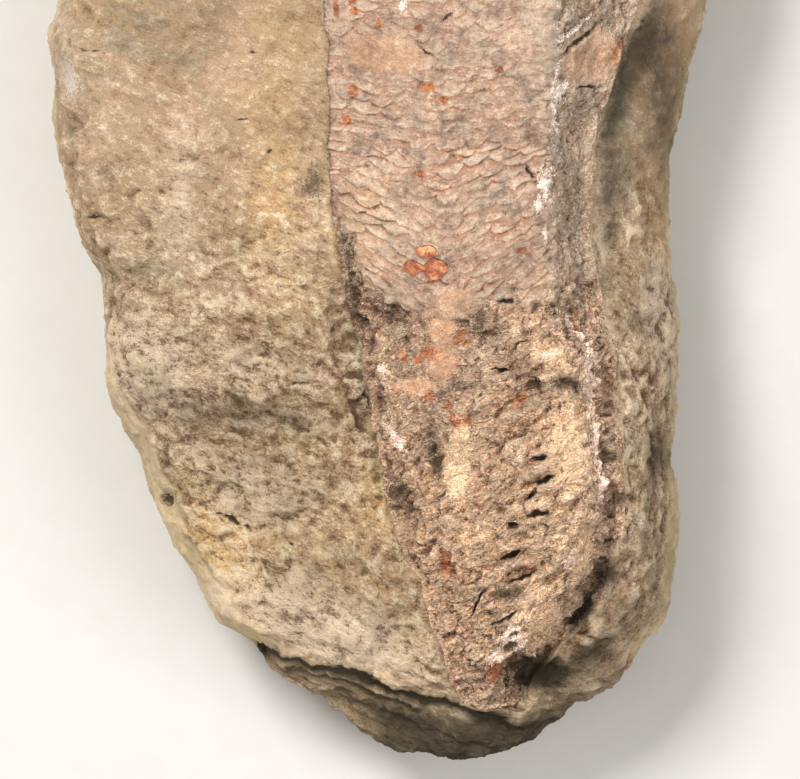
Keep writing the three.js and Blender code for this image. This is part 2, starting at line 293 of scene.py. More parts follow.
# y, then x of the fish's left edge, crest and right edge, then the heights of the left rim,
# the left face, the left edge, the crest, the right edge and the right rim.
SECTIONS = (
    (-128.4, 13.6, 21.2, 26.2, 36, 39, 41, 43, 40, 34),
    (-122.4, 11.2, 22.2, 27.6, 37, 40, 42, 47, 41, 35),
    (-116.4, 9.8, 25.2, 31.6, 38, 42, 43.5, 51, 42.5, 35),
    (-110.4, 7.2, 30.8, 36.8, 40, 43, 44.5, 54.5, 44, 36),
    (-102.4, 4.8, 37.2, 42.2, 41, 44, 46, 58, 46, 37),
    (-94.4, 1.2, 40.6, 44.8, 42, 44, 45, 59, 47, 38),
    (-86.4, -1.2, 41.2, 45.6, 42, 45, 44, 60, 48, 39),
    (-74.4, -3.8, 40.6, 45.2, 42, 45, 43.5, 60, 48.5, 39),
    (-56.4, -6.4, 38.8, 43.6, 42, 46, 44, 60.5, 48, 39),
    (-50.4, -8.4, 35.2, 41.6, 42, 46, 44.5, 60.5, 47, 38.5),
    (-32.4, -12.0, 31.2, 38.8, 43, 47, 46.5, 60, 45, 38),
    (-18.4, -12.8, 30.6, 39.2, 43.5, 47, 47.5, 60, 44.5, 37.5),
    (5.6, -13.2, 32.4, 46.4, 44, 47, 48, 60.5, 44, 38),
    (25.6, -13.8, 32.8, 51.2, 44, 47, 48, 61.5, 45, 39),
    (43.6, -14.8, 30.2, 51.6, 44, 47, 48, 61.5, 46, 39),
    (65.6, -14.4, 26.2, 49.2, 43, 46, 47, 61, 46, 39),
    (89.6, -11.8, 21.2, 42.2, 42, 45, 46, 60, 45.5, 38),
    (105.6, -5.8, 17.2, 34.2, 41, 44, 45, 57, 45, 38),
    (115.6, 1.2, 14.8, 27.2, 40, 43, 44, 53, 44, 37),
    (121.6, 8.0, 14.2, 20.0, 39, 42, 43, 48, 43, 36),
)
SECTION_NAMES = (
    "left", "crest", "right",
    "left_rim", "left_face", "left_edge", "crest_top", "right_edge", "right_rim",
)
# By y: how far from the fish's left edge the seam's dirt lies, its reach and its amount.
DIRT_MIDDLE = CurveThrough(
    ((-84, 0.0), (-79, 1.0), (-74, -1.6), (-66, -1.3), (-52, 0.5), (-46, 1.2), (-34, 1.6), (-26, 0.0))
)
DIRT_REACH = CurveThrough(((-92, 1.0), (-78, 2.0), (-50, 2.4), (-36, 2.0), (-28, 0.9), (120, 0.7)))
DIRT_AMOUNT = CurveThrough(((-98, 0.0), (-84, 0.45), (-48, 0.62), (-34, 0.6), (-20, 0.45), (120, 0.4)))
BOWL_DEPTH = ((-128.4, 3.0), (-116.0, 6.0), (-90.0, 10.0), (60.0, 12.0), (105.0, 8.0), (121.6, 3.5))


@dataclass(frozen=True)
class Patch:
    """An ellipse on the surface, which swells or sinks it, or colours it with stains, painted shade or
    painted light.

    Attributes:
        x: across to its middle.
        y: along to its middle.
        length: its half-length along its heading.
        breadth: its half-length across its heading.
        amount: how far it stands out, less than 0 for a hollow, or how strong it is.
        heading: the way of its length, in degrees from +X.
    """

    x: float
    y: float
    length: float
    breadth: float
    amount: float = 0.0
    heading: float = 0.0

    def own(self, x: Array, y: Array) -> tuple[Array, Array]:
        """Places along and across it, 1 on its edge."""
        along, across = turned(x - self.x, y - self.y, self.heading)
        return along / self.length, across / self.breadth

    def lift(self, x: Array, y: Array) -> Array:
        """Its height or strength at a point: a bell in both ways."""
        along, across = self.own(x, y)
        return self.amount * np.exp(-(along**2) - across**2)

    def radius(self, x: Array, y: Array, pointed: bool) -> Array:
        """Distance from its middle, 1 on the ellipse, or on a lens with pointed ends."""
        along, across = self.own(x, y)
        return along**2 + np.abs(across) if pointed else np.hypot(along, across)


def patches(*rows: tuple[float, ...]) -> tuple[Patch, ...]:
    """Patches from rows of their numbers, in the order of their attributes."""
    return tuple(Patch(*row) for row in rows)


SWELLS = patches(
    (-27, -69, 24, 5, -1.8, -9), (-25, -82, 22, 5, 1.6, -6), (-17, -95, 20, 6, -2.2, -20),
    (-14, -108, 26, 5, 1.8, -42), (-8, -55, 26, 3.2, -3, -76), (-6.5, -53, 7, 4, -1.2),
    (-63, -13, 4, 3, -5, 70), (-57, -22, 4, 3, -4, 30), (-50, -42, 5, 2.5, -3.5, 10),
    (-52, -60, 12, 6, 1.6, -50), (-45, -86.5, 2.5, 2.5, -2.5), (46, 3, 14, 3, -2.4, 82),
    (42, -101, 4.5, 4, -4.5), (35, -109, 6, 3.5, -4, 50), (28.5, -121, 7, 3, -4, 55),
    (45, -88, 2.4, 2.4, -3), (52, -66, 12, 4, 2, 85),
)
# Wave length, heading in degrees, height and phase.
LUMPS = ((41, 24, 0.6, 0.4), (29, 112, 0.5, 2.1), (17, 68, 0.35, 4.4), (12.5, 151, 0.3, 1.3))


@dataclass(frozen=True)
class SpecimenShape:
    """The outer form that the nodule and the fish share, as functions of x and y.

    Attributes:
        half_length: from the nodule's middle to either end.
        rim_level: height of the widest outline above the underside.
        flatten: how far the underside's curve would pass below the flat.
        left_round: how far in from the left rim the face is rounded off.
        right_round: the same from the right rim.
        tail_round: the same from the tail end.
        head_round: the same from the head end.
        underside_round: the same for the underside, from its rims.
        end_fade: how far past its ends the fish's relief dies away.
        wander: how far the fish's edges stray from their smooth lines.
        crest_wear: how far to each side the crest is worn round.
        curves: the outlines and the section's curves by name, worked out from the tables.
    """

    half_length: float = 137.4
    rim_level: float = 22.0
    flatten: float = 1.5
    left_round: float = 9.0
    right_round: float = 12.0
    tail_round: float = 34.0
    head_round: float = 42.0
    underside_round: float = 29.0
    end_fade: float = 4.0
    wander: float = 0.9
    crest_wear: float = 4.5
    curves: dict[str, CurveThrough] = field(default_factory=dict)

    def __post_init__(self) -> None:
        """Work out the outlines, by angle along the nodule, and the section curves."""
        for name, points in (("left_outline", LEFT_OUTLINE), ("right_outline", RIGHT_OUTLINE)):
            by_angle = [(float(self.angle(y)), x) for y, x in points]
            self.curves[name] = CurveThrough(by_angle)
        for column, name in enumerate(SECTION_NAMES, start=1):
            self.curves[name] = CurveThrough([(row[0], row[column]) for row in SECTIONS])
        self.curves["bowl"] = CurveThrough(BOWL_DEPTH)

    @property
    def tail_y(self) -> float:
        """Where the fish's tail ends."""
        return SECTIONS[0][0]

    @property
    def head_y(self) -> float:
        """Where the fish's snout ends."""
        return SECTIONS[-1][0]

    def angle(self, y: Array | float) -> Array:
        """The angle whose cosine places y along the nodule, 0 at the tail end."""
        return np.arccos(-np.clip(np.asarray(y) / self.half_length, -1.0, 1.0))

    def left_outline(self, y: Array) -> Array:
        """x of the nodule's left rim."""
        return self.curves["left_outline"](self.angle(y))

    def right_outline(self, y: Array) -> Array:
        """x of the nodule's right rim."""
        return self.curves["right_outline"](self.angle(y))

    def straying(self, y: Array, row: float) -> Array:
        """How far an edge of the fish strays: two octaves of noise along y, 0 at its ends.

        Args:
            y: places along the fish.
            row: which line of the noise the edge follows.

        Returns:
            The distance across, at each place.
        """
        places = np.stack([y / 9.0, np.full_like(y, row), np.full_like(y, 0.5)], axis=-1)
        near_end = np.minimum(y - self.tail_y, self.head_y - y)
        return self.wander * fractal(places, 3, 5) * smooth(near_end / 6.0)

    def fish_left(self, y: Array) -> Array:
        """x of the fish's left edge."""
        return self.curves["left"](y) + self.straying(y, 3.5)

    def fish_right(self, y: Array) -> Array:
        """x of the fish's right edge."""
        return self.curves["right"](y) + self.straying(y, 8.5)

    def crest(self, y: Array) -> Array:
        """x of the fish's crest."""
        return self.curves["crest"](y)

    def end_rounding(self, y: Array) -> Array:
        """How far the height has risen from the nodule's ends, 0 to 1."""
        tail = rounded(y + self.half_length, self.tail_round)
        return tail * rounded(self.half_length - y, self.head_round)

    def face(self, x: Array, y: Array) -> Array:
        """The upper face before its rims and ends are rounded off.

        Left of the fish it blends from the fish's edge to the face and on to the rim. On the
        fish it rises as a quarter sine to the crest and falls as one to the right edge.

        Args:
            x: places across the part.
            y: places along the part, one for each x.

        Returns:
            The surface's height at each place.
        """
        of = {name: self.curves[name](y) for name in SECTION_NAMES}
        left, crest, right = self.fish_left(y), self.crest(y), self.fish_right(y)
        past = np.maximum(np.maximum(self.tail_y - y, y - self.head_y), 0.0)
        level = (of["left_edge"] + of["right_edge"]) / 2.0
        top = mix(of["crest_top"], level, smooth(past / self.end_fade))
        out = np.clip((left - x) / np.maximum(left - self.left_outline(y), 1.0), 0.0, 1.0)
        inner = mix(of["left_edge"], of["left_face"], smooth(out * 2.5))
        left_side = mix(inner, of["left_rim"], smooth((out - 0.5) * 2.0))
        rise = np.sin(np.pi / 2.0 * np.clip((x - left) / (crest - left), 0.0, 1.0))
        fall = np.sin(np.pi / 2.0 * np.clip((x - crest) / (right - crest), 0.0, 1.0))
        beyond = np.clip((x - right) / np.maximum(self.right_outline(y) - right, 1.0), 0.0, 1.0)
        height = np.where(x <= crest, mix(of["left_edge"], top, rise**0.9), 0.0)
        height = np.where(x > crest, mix(top, of["right_edge"], fall), height)
        height = np.where(x <= left, left_side, height)
        return np.where(x >= right, mix(of["right_edge"], of["right_rim"], beyond), height)

    def top(self, x: Array, y: Array) -> Array:
        """The finished upper surface: face, swells and waves, rounded at rims and ends.

        Args:
            x: places across the part.
            y: places along the part, one for each x.

        Returns:
            The surface's height at each place.
        """
        rim = rounded(x - self.left_outline(y), self.left_round)
        rim = rim * rounded(self.right_outline(y) - x, self.right_round)
        raw = self.face(x, y) + sum(swell.lift(x, y) for swell in SWELLS)
        for length, heading, height, phase in LUMPS:
            along, _ = turned(x, y, heading)
            raw = raw + height * np.sin(2.0 * np.pi * along / length + phase)
        return self.rim_level + (raw - self.rim_level) * rim * self.end_rounding(y)

    def underside(self, x: Array, y: Array) -> Array:
        """The lower surface, rounded at rims and ends and flat over its middle.

        Args:
            x: places across the part.
            y: places along the part, one for each x.

        Returns:
            The surface's height at each place.
        """
        rim = rounded(x - self.left_outline(y), self.underside_round)
        rim = rim * rounded(self.right_outline(y) - x, self.underside_round)
        drop = (self.rim_level + self.flatten) * rim * self.end_rounding(y)
        return np.maximum(0.0, self.rim_level - drop)

    def normals(self, surface: Callable[[Array, Array], Array], x: Array, y: Array) -> Array:
        """Unit normals of a surface's upper side, from differences over a quarter millimetre.

        Args:
            surface: the height as a function of x and y.
            x: places across the part.
            y: places along the part, one for each x.

        Returns:
            One vector for each place.
        """
        step = 0.25
        along_x = (surface(x + step, y) - surface(x - step, y)) / (2.0 * step)
        along_y = (surface(x, y + step) - surface(x, y - step)) / (2.0 * step)
        normal = np.stack([-along_x, -along_y, np.ones_like(along_x)], axis=-1)
        return normal / np.linalg.norm(normal, axis=-1, keepdims=True)

    def seam_distance(self, x: Array, y: Array) -> Array:
        """How far a point is from the seam between the fish and the stone, about.

        Args:
            x: places across the part.
            y: places along the part, one for each x.

        Returns:
            The distance from the seam at each place.
        """
        across = np.minimum(np.abs(x - self.fish_left(y)), np.abs(x - self.fish_right(y)))
        outside = np.maximum(np.maximum(self.fish_left(y) - x, x - self.fish_right(y)), 0.0)
        past = np.maximum(np.maximum(self.tail_y - y, y - self.head_y), 0.0)
        near_end = np.minimum(np.abs(y - self.tail_y), np.abs(self.head_y - y))
        within = np.where(outside > 0.0, across, np.minimum(across, near_end))
        return np.where(past > 0.0, np.hypot(outside, past), within)

    def seam_relief(self, points: Array) -> Array:
        """Relief that the fish and the stone share, so that they meet at the seam."""
        grit = fractal(points / 1.4, 2, 73)
        return 0.3 * fractal(points / 3.5, 3, 71) + 0.12 * grit + 0.1 * np.abs(grit)

    def seam_dirt(self, x: Array, y: Array) -> Array:
        """Dirt held in the seam along the fish's left edge, widest below the scales.

        Args:
            x: places across the part.
            y: places along the part, one for each x.

        Returns:
            The amount of dirt at each place.
        """
        away = x - self.fish_left(y) - DIRT_MIDDLE(y)
        reach = DIRT_REACH(y)
        return DIRT_AMOUNT(y) * bell(away / reach) * smooth((self.head_y + 1.0 - y) / 2.0)

    def worn_top(self, x: Array, y: Array) -> Array:
        """The upper surface with the fish's sharp crest worn down.

        It is lowered by half of the crest's change of slope times the difference between a
        hyperbola and its corner, which dies away before the seams.

        Args:
            x: places across the part.
            y: places along the part, one for each x.

        Returns:
            The surface's height at each place.
        """
        step = 1.5
        crest = self.crest(y)
        sides = self.face(crest - step, y) + self.face(crest + step, y)
        bend = (2.0 * self.face(crest, y) - sides) / step
        away = x - crest
        wear = 0.5 * bend * (np.hypot(away, self.crest_wear) - np.abs(away))
        return self.top(x, y) - wear * smooth(self.seam_distance(x, y) / 3.0)

    def bowl(self, start: Array, end: Array, y: Array, dip: Array, gap: float = 0.0) -> Array:
        """The fish's hidden lower side: half turns from edge to edge that sink as a sine.

        Args:
            start: the points on one edge.
            end: the points on the other.
            y: the ribs' places along the fish.
            dip: the places between the edges, 0 to 1.
            gap: how much deeper than the fish the surface lies.

        Returns:
            The points of the lower side.
        """
        found = mix(start, end, half_turn(dip)[None, :, None])
        found[..., 2] -= np.sin(np.pi * dip) * (self.curves["bowl"](y) + gap)
        return found

    def drift(self, x: Array, y: Array) -> Array:
        """How far points near the fish's ends stray along y, so that its ends are ragged arcs.

        Args:
            x: places across the part.
            y: places along the part, one for each x.

        Returns:
            The distance along y at each place.
        """
        tail = bell((y - self.tail_y) / 5.0)
        head = bell((y - self.head_y) / 5.0)
        places = np.stack([x / 4.0, 0.0 * x, 0.0 * x + 0.5], axis=-1)
        ragged = 1.1 * fractal(places, 3, 77)
        bend = np.clip(np.abs(x - self.crest(y)) / 7.0, 0.0, 1.0) ** 2
        return (tail - head) * (2.2 * bend + ragged)


# ---- Spots and washes ----


class Mark(Enum):
    """The kinds of spot on the specimen."""

    RUST = "rust"
    BEAD = "bead"
    CHALK = "chalk"
    PLATE = "plate"
    CREAM = "cream"
    GRIME = "grime"
    SLOT = "slot"


class Tint(Enum):
    """Broad washes of colour, painted light and painted shade, that pass from the stone on to the fish.
    """

    OCHRE = "ochre"
    GREY = "grey"
    # Pale stone, and painted light on ridges and slopes that face away from the key light.
    PALE = "pale"
    ROSE = "rose"
    # Painted shade in valleys, hollows, the groove right of the fish and under the tail end.
    SHADE = "shade"


Spots = dict[Mark, tuple[Patch, ...]]


def covered(spots: Spots, kind: Mark, x: Array, y: Array) -> Array:
    """How deep each point lies in a kind of spot: 1 in its middle, a half on its edge, 0 outside.

    Args:
        spots: the spots, by kind.
        kind: the kind that is looked for.
        x: places across the part.
        y: places along the part, one for each x.

    Returns:
        The depth at each place.
    """
    total = np.zeros_like(x)
    for spot in spots[kind]:
        reach = spot.radius(x, y, kind is Mark.BEAD)
        total = np.maximum(total, np.clip(1.0 - 0.5 * reach, 0.0, 1.0))
    return total


def raised(spots: Spots, x: Array, y: Array) -> Array:
    """The sum of the spots' relief at each point, each one steep at its edge.

    Args:
        spots: the spots, by kind.
        x: places across the part.
        y: places along the part, one for each x.

    Returns:
        The height that they add at each place.
    """
    total = np.zeros_like(x)
    for kind, group in spots.items():
        for spot in group:
            if spot.amount:
                reach = spot.radius(x, y, kind is Mark.BEAD)
                total += spot.amount * smooth((1.3 - reach) / 0.6)
    return total


def washes(x: Array, y: Array) -> dict[str, Array]:
    """The strength of each wash, 0 to 1, by its name."""
    return {
        tint.value: np.clip(sum(wash.lift(x, y) for wash in group), 0.0, 1.0)
        for tint, group in WASHES.items()
    }


FISH_SPOTS = {
    Mark.BEAD: patches(
        (6.7, -37.1, 2.3, 1.35, 0.35, -8), (3.5, -40.3, 2.3, 1.4, 0.35, -6),
        (8.1, -40.5, 2.9, 2.1, 0.5, 8),
    ),
    Mark.RUST: patches(
        (5, -22.1, 1.2, 0.9), (6.3, -4.7, 1.7, 1.1), (9.6, -7.4, 1.1, 0.9), (-8, -5.6, 1.2, 1.3),
        (-9.3, -11.2, 1.1, 1), (5, 6.8, 0.8, 0.8), (-7.8, 10, 0.8, 0.8), (-8, 12.5, 1.1, 0.9),
        (-11.6, 10.6, 0.7, 1.9), (-3, 7.7, 0.6, 1.3), (25, -37.1, 0.9, 0.8), (20.5, -1.4, 0.8, 0.8),
        (43.8, 2.8, 2.1, 2.5, 0.4), (13.5, -54.3, 1.8, 1.8, 0.3, -20), (7.2, -57.1, 2, 1.3),
        (1.2, -57.7, 1.3, 1.3), (4.4, -58.4, 1.1, 0.8), (12.4, -70.6, 2.3, 1.3, 0, -10),
        (10.6, -67.6, 0.8, 1.2), (6.4, -65.8, 1.3, 1.1), (24.6, -66.5, 1.6, 0.8, 0, 35),
        (20.3, -121, 2.1, 1.8), (9.7, -98.6, 1.3, 3, -0.5, 12), (26.2, -99.9, 1.4, 0.6, 0, -20),
        (26.6, -99.4, 1.8, 0.8, 0, -30),
    ),
    Mark.PLATE: patches(
        (-1.8, 1.7, 7.8, 3.7, 0.35, -8), (39, 1.4, 6.2, 5.2, 0.7, 20), (12.7, -47.4, 4.4, 2.8, 0.4),
        (8.9, -52.4, 2.6, 2.6, 0.4), (3.6, -64, 4.2, 1.7, 0.2), (9.4, -58, 3, 5, 0.2),
    ),
    Mark.CHALK: patches(
        (32, -5.8, 1.4, 1.9, 0, 20), (31.6, -11.1, 0.5, 3.3, 0, 12), (29.6, -24, 1, 2.6, 0, 10),
        (28.2, -28, 0.7, 1.8), (29.6, -34, 0.4, 1.8), (1.6, 11.3, 0.8, 1.1),
        (-2.6, -60.9, 0.8, 1.4, 0, 20), (-0.6, -73.4, 2.6, 0.9, 0, -48),
        (0.8, -75.8, 1.6, 0.5, 0, -35), (38.5, -61.2, 0.6, 4.6, 0, 4), (39.3, -73, 0.3, 6),
        (23.8, -113.9, 2.4, 2.8, 0, 30), (20, -117.6, 1.8, 1, 0, 40), (30.2, -57.4, 1.8, 0.5, 0.4, 12),
        (34.6, -98.4, 1.6, 1.4, 0, 30), (35.4, 6.6, 4.2, 0.4, 0.6, 40), (32.6, -4.6, 1, 1, 0, 12),
    ),
    Mark.CREAM: patches(
        (12.1, -79.7, 2.4, 6.3, 0.4, 4), (12.9, -72.8, 1.6, 2.4, 0.3),
        (23.6, -51.6, 0.9, 1.3, 0.3, 30), (29, -109.6, 5.4, 4, 0.3, -50),
        (37.4, -96, 2.4, 6.5, 0.2, -8), (35.5, -76, 4.2, 8, 0.2), (20.5, -117, 2.6, 2, 0, 20),
        (25.6, -113.6, 4, 3, 0, 20), (16, -92.6, 3.4, 1.6, 0, 10), (31, -57.5, 5, 2.4, 0.2, -20),
    ),
    Mark.GRIME: patches(
        (7.6, -78, 1.4, 4.6, -0.7, 14), (0.6, -85.4, 2.8, 3.6, -0.4, 20),
        (-6.6, -70, 1.4, 5, -0.2, 12), (-8.4, -47, 5, 2.2, -0.3, -78),
        (-1.6, -49.6, 4.2, 2, -0.9, -14), (16.6, -51.5, 1.8, 2.6, -0.2),
        (27.6, -63.8, 2.6, 1, -0.5, 20), (21.8, -104.3, 3.2, 1.9, -0.7, 20),
        (34.4, -63.6, 4.2, 1.3, -1.2, -6), (42.6, -77.9, 1.2, 1.5, -0.8, 20),
        (27.6, -121.8, 5.6, 4.4, -1, -38),
    ),
    Mark.SLOT: patches(
        (36.6, 4.9, 5.4, 0.4, -0.8, 40), (37.8, -4.5, 3, 0.3, -0.5, 4),
        (6.6, 1.8, 3.2, 0.22, -0.4, -38), (10.6, 9, 1.8, 0.25, -0.5, 35),
        (27, -21.6, 1.6, 0.45, -1.2, -58), (21.9, -46.9, 1.7, 0.45, -1.6, -5),
        (24.4, -55.6, 2.2, 0.3, -0.6, 30), (20.4, -60.7, 1.7, 0.4, -1.2, -8),
        (28.2, -77.9, 1.6, 0.5, -1.6, 12), (29.4, -82.4, 1.9, 0.55, -1.8, 14),
        (27, -85, 1.5, 0.5, -1.6, 42), (28.3, -88.9, 2.1, 0.65, -2, 10),
        (23.2, -91.5, 1.2, 0.7, -2, 12), (22.7, -97.2, 2, 0.6, -2, 20),
        (24.6, -101.4, 2.4, 0.4, -1.4, 18), (21.2, -110, 2.8, 0.35, -1, 22),
        (23.8, -113.4, 1.5, 0.75, -0.4, 18), (23.6, -115.6, 1.7, 0.8, -0.4, 24),
        (16.2, -106.9, 4.2, 0.2, -0.8, 62), (23.2, -123.9, 2.8, 0.4, -1.2, 80),
        (9.4, -119.4, 2.6, 0.18, -0.5, -62),
    ),
}
STONE_SPOTS = {
    Mark.SLOT: patches(
        (-45.2, -86.6, 1.3, 1.1, -1.4, 20), (-27.8, 2.1, 0.6, 0.4, -0.5),
        (-29.8, -10.8, 1.5, 0.25, -0.4, 4), (-24.5, -17.5, 0.7, 0.5, -0.6, 30),
        (38.6, -113, 3.6, 0.3, -0.5, -8), (-18.9, -63.2, 2.2, 0.22, -0.4, 4),
        (-25, -68.8, 1.5, 0.22, -0.3, 8), (-20.6, -94.7, 0.45, 0.4, -0.5),
        (-31.6, -90.2, 3.9, 0.35, -0.9, -30), (-5.4, -66, 2.8, 0.4, -0.9, -58),
        (-59.7, 2.6, 3.2, 0.2, -0.3, -6), (-59.8, -30.1, 1.3, 0.4, -0.5, -10),
        (45.1, -88.2, 1, 1.1, -1.6),
    ),
    Mark.GRIME: patches(
        (-15.9, -23.9, 2.2, 3), (31.8, -121.4, 3.6, 3.4, -0.6, -40),
    ),
    Mark.CHALK: patches(
        (-64.5, -2.6, 2, 4, 0, 14), (48.4, -92.5, 0.4, 5.4, 0, 3), (50, -90, 0.3, 4.4, 0, -3),
        (46.6, -90, 0.25, 4, 0, 4),
    ),
}
WASHES = {
    Tint.OCHRE: patches(
        (-15, -88, 60, 34, 0.5), (-1, -34, 9, 12, 0.5, -50), (-23, -26, 9, 24, 0.6),
        (-22, 8, 7, 9, 0.3), (-30, 0, 9, 12, 0.2), (-28, -100, 24, 6, 0.7, -38),
        (-2, -120, 10, 4, 0.4, -25), (33, -86, 8, 18, 1), (52, -20, 4, 24, 0.2, 4),
        (-6, -30, 5, 12, 0.6), (20, -106, 14, 14, 0.2), (1, -86, 5, 7, 0.7),
        (38, -108, 10, 5, 0.3, 40), (-34, -107, 12, 4, 0.6, -38), (54, -34, 4, 16, 0.4),
        (-6, 8, 6, 8, 0.3),
    ),
    Tint.GREY: patches(
        (-52, 2, 12, 8, 0.5), (-44, -40, 14, 8, 0.4), (44, -14, 4, 24, 0.9), (14, -134, 22, 6, 0.9),
        (13, -47, 8, 5, 0.6), (17, -62, 5, 6, 0.3), (-20, -66, 16, 5, 0.4, -5), (52, -100, 4, 16, 0.5),
        (-46, -78, 5, 14, 0.4, -30),
    ),
    # Pale stone and painted light: these lighten ridges and slopes that face away from the key light.
    Tint.PALE: patches(
        (-42, -18, 4, 14, 0.6), (-66, 4, 4, 10, 0.7), (-56, -66, 10, 5, 0.4, -55),
        (-36, -105, 8, 3, 0.5, -38), (37, -55, 8, 6, 0.9), (27, -110, 7, 5, 1.1, 40),
        (-22, -38, 8, 8, 0.4), (37, -124.5, 6, 1.4, 0.9, 14), (51, -43, 3, 7, 0.7),
        (43.5, -76, 2.5, 5, 0.8), (41, -36, 2, 6, 0.4), (-47, -62, 9, 4, 0.6, -20),
        (-18, -110, 9, 3, 0.6, -25), (-3, -110, 5, 4, 0.4), (53, -50, 4, 8, 0.6), (46, -72, 6, 8, 0.4),
        (40, 8, 8, 10, 0.7), (34, -80, 7, 14, 0.7), (-16, -20, 3, 14, 0.3), (31, -12, 3, 22, 0.7),
        (36, -22, 5, 34, 1), (40, 2, 5, 8, 0.7, -30), (-30, -58, 18, 4, 0.5, -12),
        (-26, -80, 18, 4, 0.5, -12), (22, 4, 14, 8, 0.6), (0, -34, 8, 9, 0.7, -30),
        (-27, -87, 14, 5, 0.7, -8), (-12, -113, 20, 6, 1.3, -24), (-20, -100, 14, 5, 0.5, -24),
        (38, -72, 5, 26, 0.7), (-50, -57, 7, 10, 0.8, 30), (-45, -34, 8, 8, 0.5),
        (41, -97, 5, 14, 0.7, -10), (54, -52, 4, 12, 0.6),
    ),
    Tint.ROSE: patches(
        (-1, -36, 9, 7, 0.6, -40), (6, -60, 8, 9, 0.8), (-8, 4, 5, 9, 0.5), (25, -74, 5, 8, 0.7),
        (14, -86, 5, 6, 0.5), (18, -98, 6, 6, 0.5), (19, -121, 6, 4, 0.5), (44, 3, 4, 5, 0.5),
        (49, -72, 4, 6, 0.5), (10, -98, 4, 5, 0.5), (38, -20, 4, 26, 0.6), (50, -58, 6, 22, 0.5),
        (40, -115, 6, 6, 0.7), (6, 8, 22, 9, 0.5),
    ),
    # Painted shade: these darken valleys, hollows, the groove right of the fish and the tail end's
    # underside.
    Tint.SHADE: patches(
        (-30, -68, 26, 4, 0.55, -10), (-14, -95, 18, 5, 0.4, -22), (-7.5, -56, 24, 3.2, 0.15, -74),
        (43, -16, 24, 3.4, 0.6, 88), (48, 2, 11, 3.6, 0.8, 72), (52, -10, 26, 6, 0.4, 86),
        (-31, -44, 6, 3, 0.3, -10), (29, -121.6, 5.4, 4, 1.35, -35), (37, -119, 6, 3, 0.4, 20),
        (34, -131, 10, 4, 0.5, 25), (42, -30, 3, 22, 0.22), (12, -60, 10, 8, 0.15),
        (-19, -56, 7, 6, 0.3), (-38, -71, 20, 4, 0.35, -6), (-26, -78, 16, 4, 0.3, -8),
        (-19, -103, 6, 3, 0.25, -20), (-42, 6, 34, 20, 0.38), (55, -4, 5, 18, 0.4),
        (53, -78, 4, 5, 0.7), (40, -115, 7, 4, 0.6, 40), (42, -101, 4, 3, 0.95, 20),
        (37.2, -108.4, 4.4, 2, 1.1, 52), (28, -138, 17, 6, 1.7), (0, -132, 20, 5, 0.85, -26),
        (12, -136, 14, 4, 0.9), (45, -108, 5, 4, 0.4), (49, -73, 4, 5, 0.3), (2, -47, 8, 3, 0.3, -30),
        (20, -52, 5, 4, 0.3), (8, -77, 2, 6, 0.5, 10), (2, -88, 4, 5, 0.35, 20),
        (29, -66, 6, 3, 0.3, 20), (20, -92, 3, 12, 0.25, -6), (12, -92, 4, 4, 0.2),
        (45, -122, 8, 3, 0.5, 40), (-16, -63, 8, 4, 0.2, -10), (-63, -13, 3.5, 2, 0.5, -65),
        (-57, -22, 3.5, 2, 0.5, -40), (-50, -42, 5, 1.8, 0.5, 8), (6, 8, 20, 6, 0.15),
    ),
}


# ---- Meshes ----


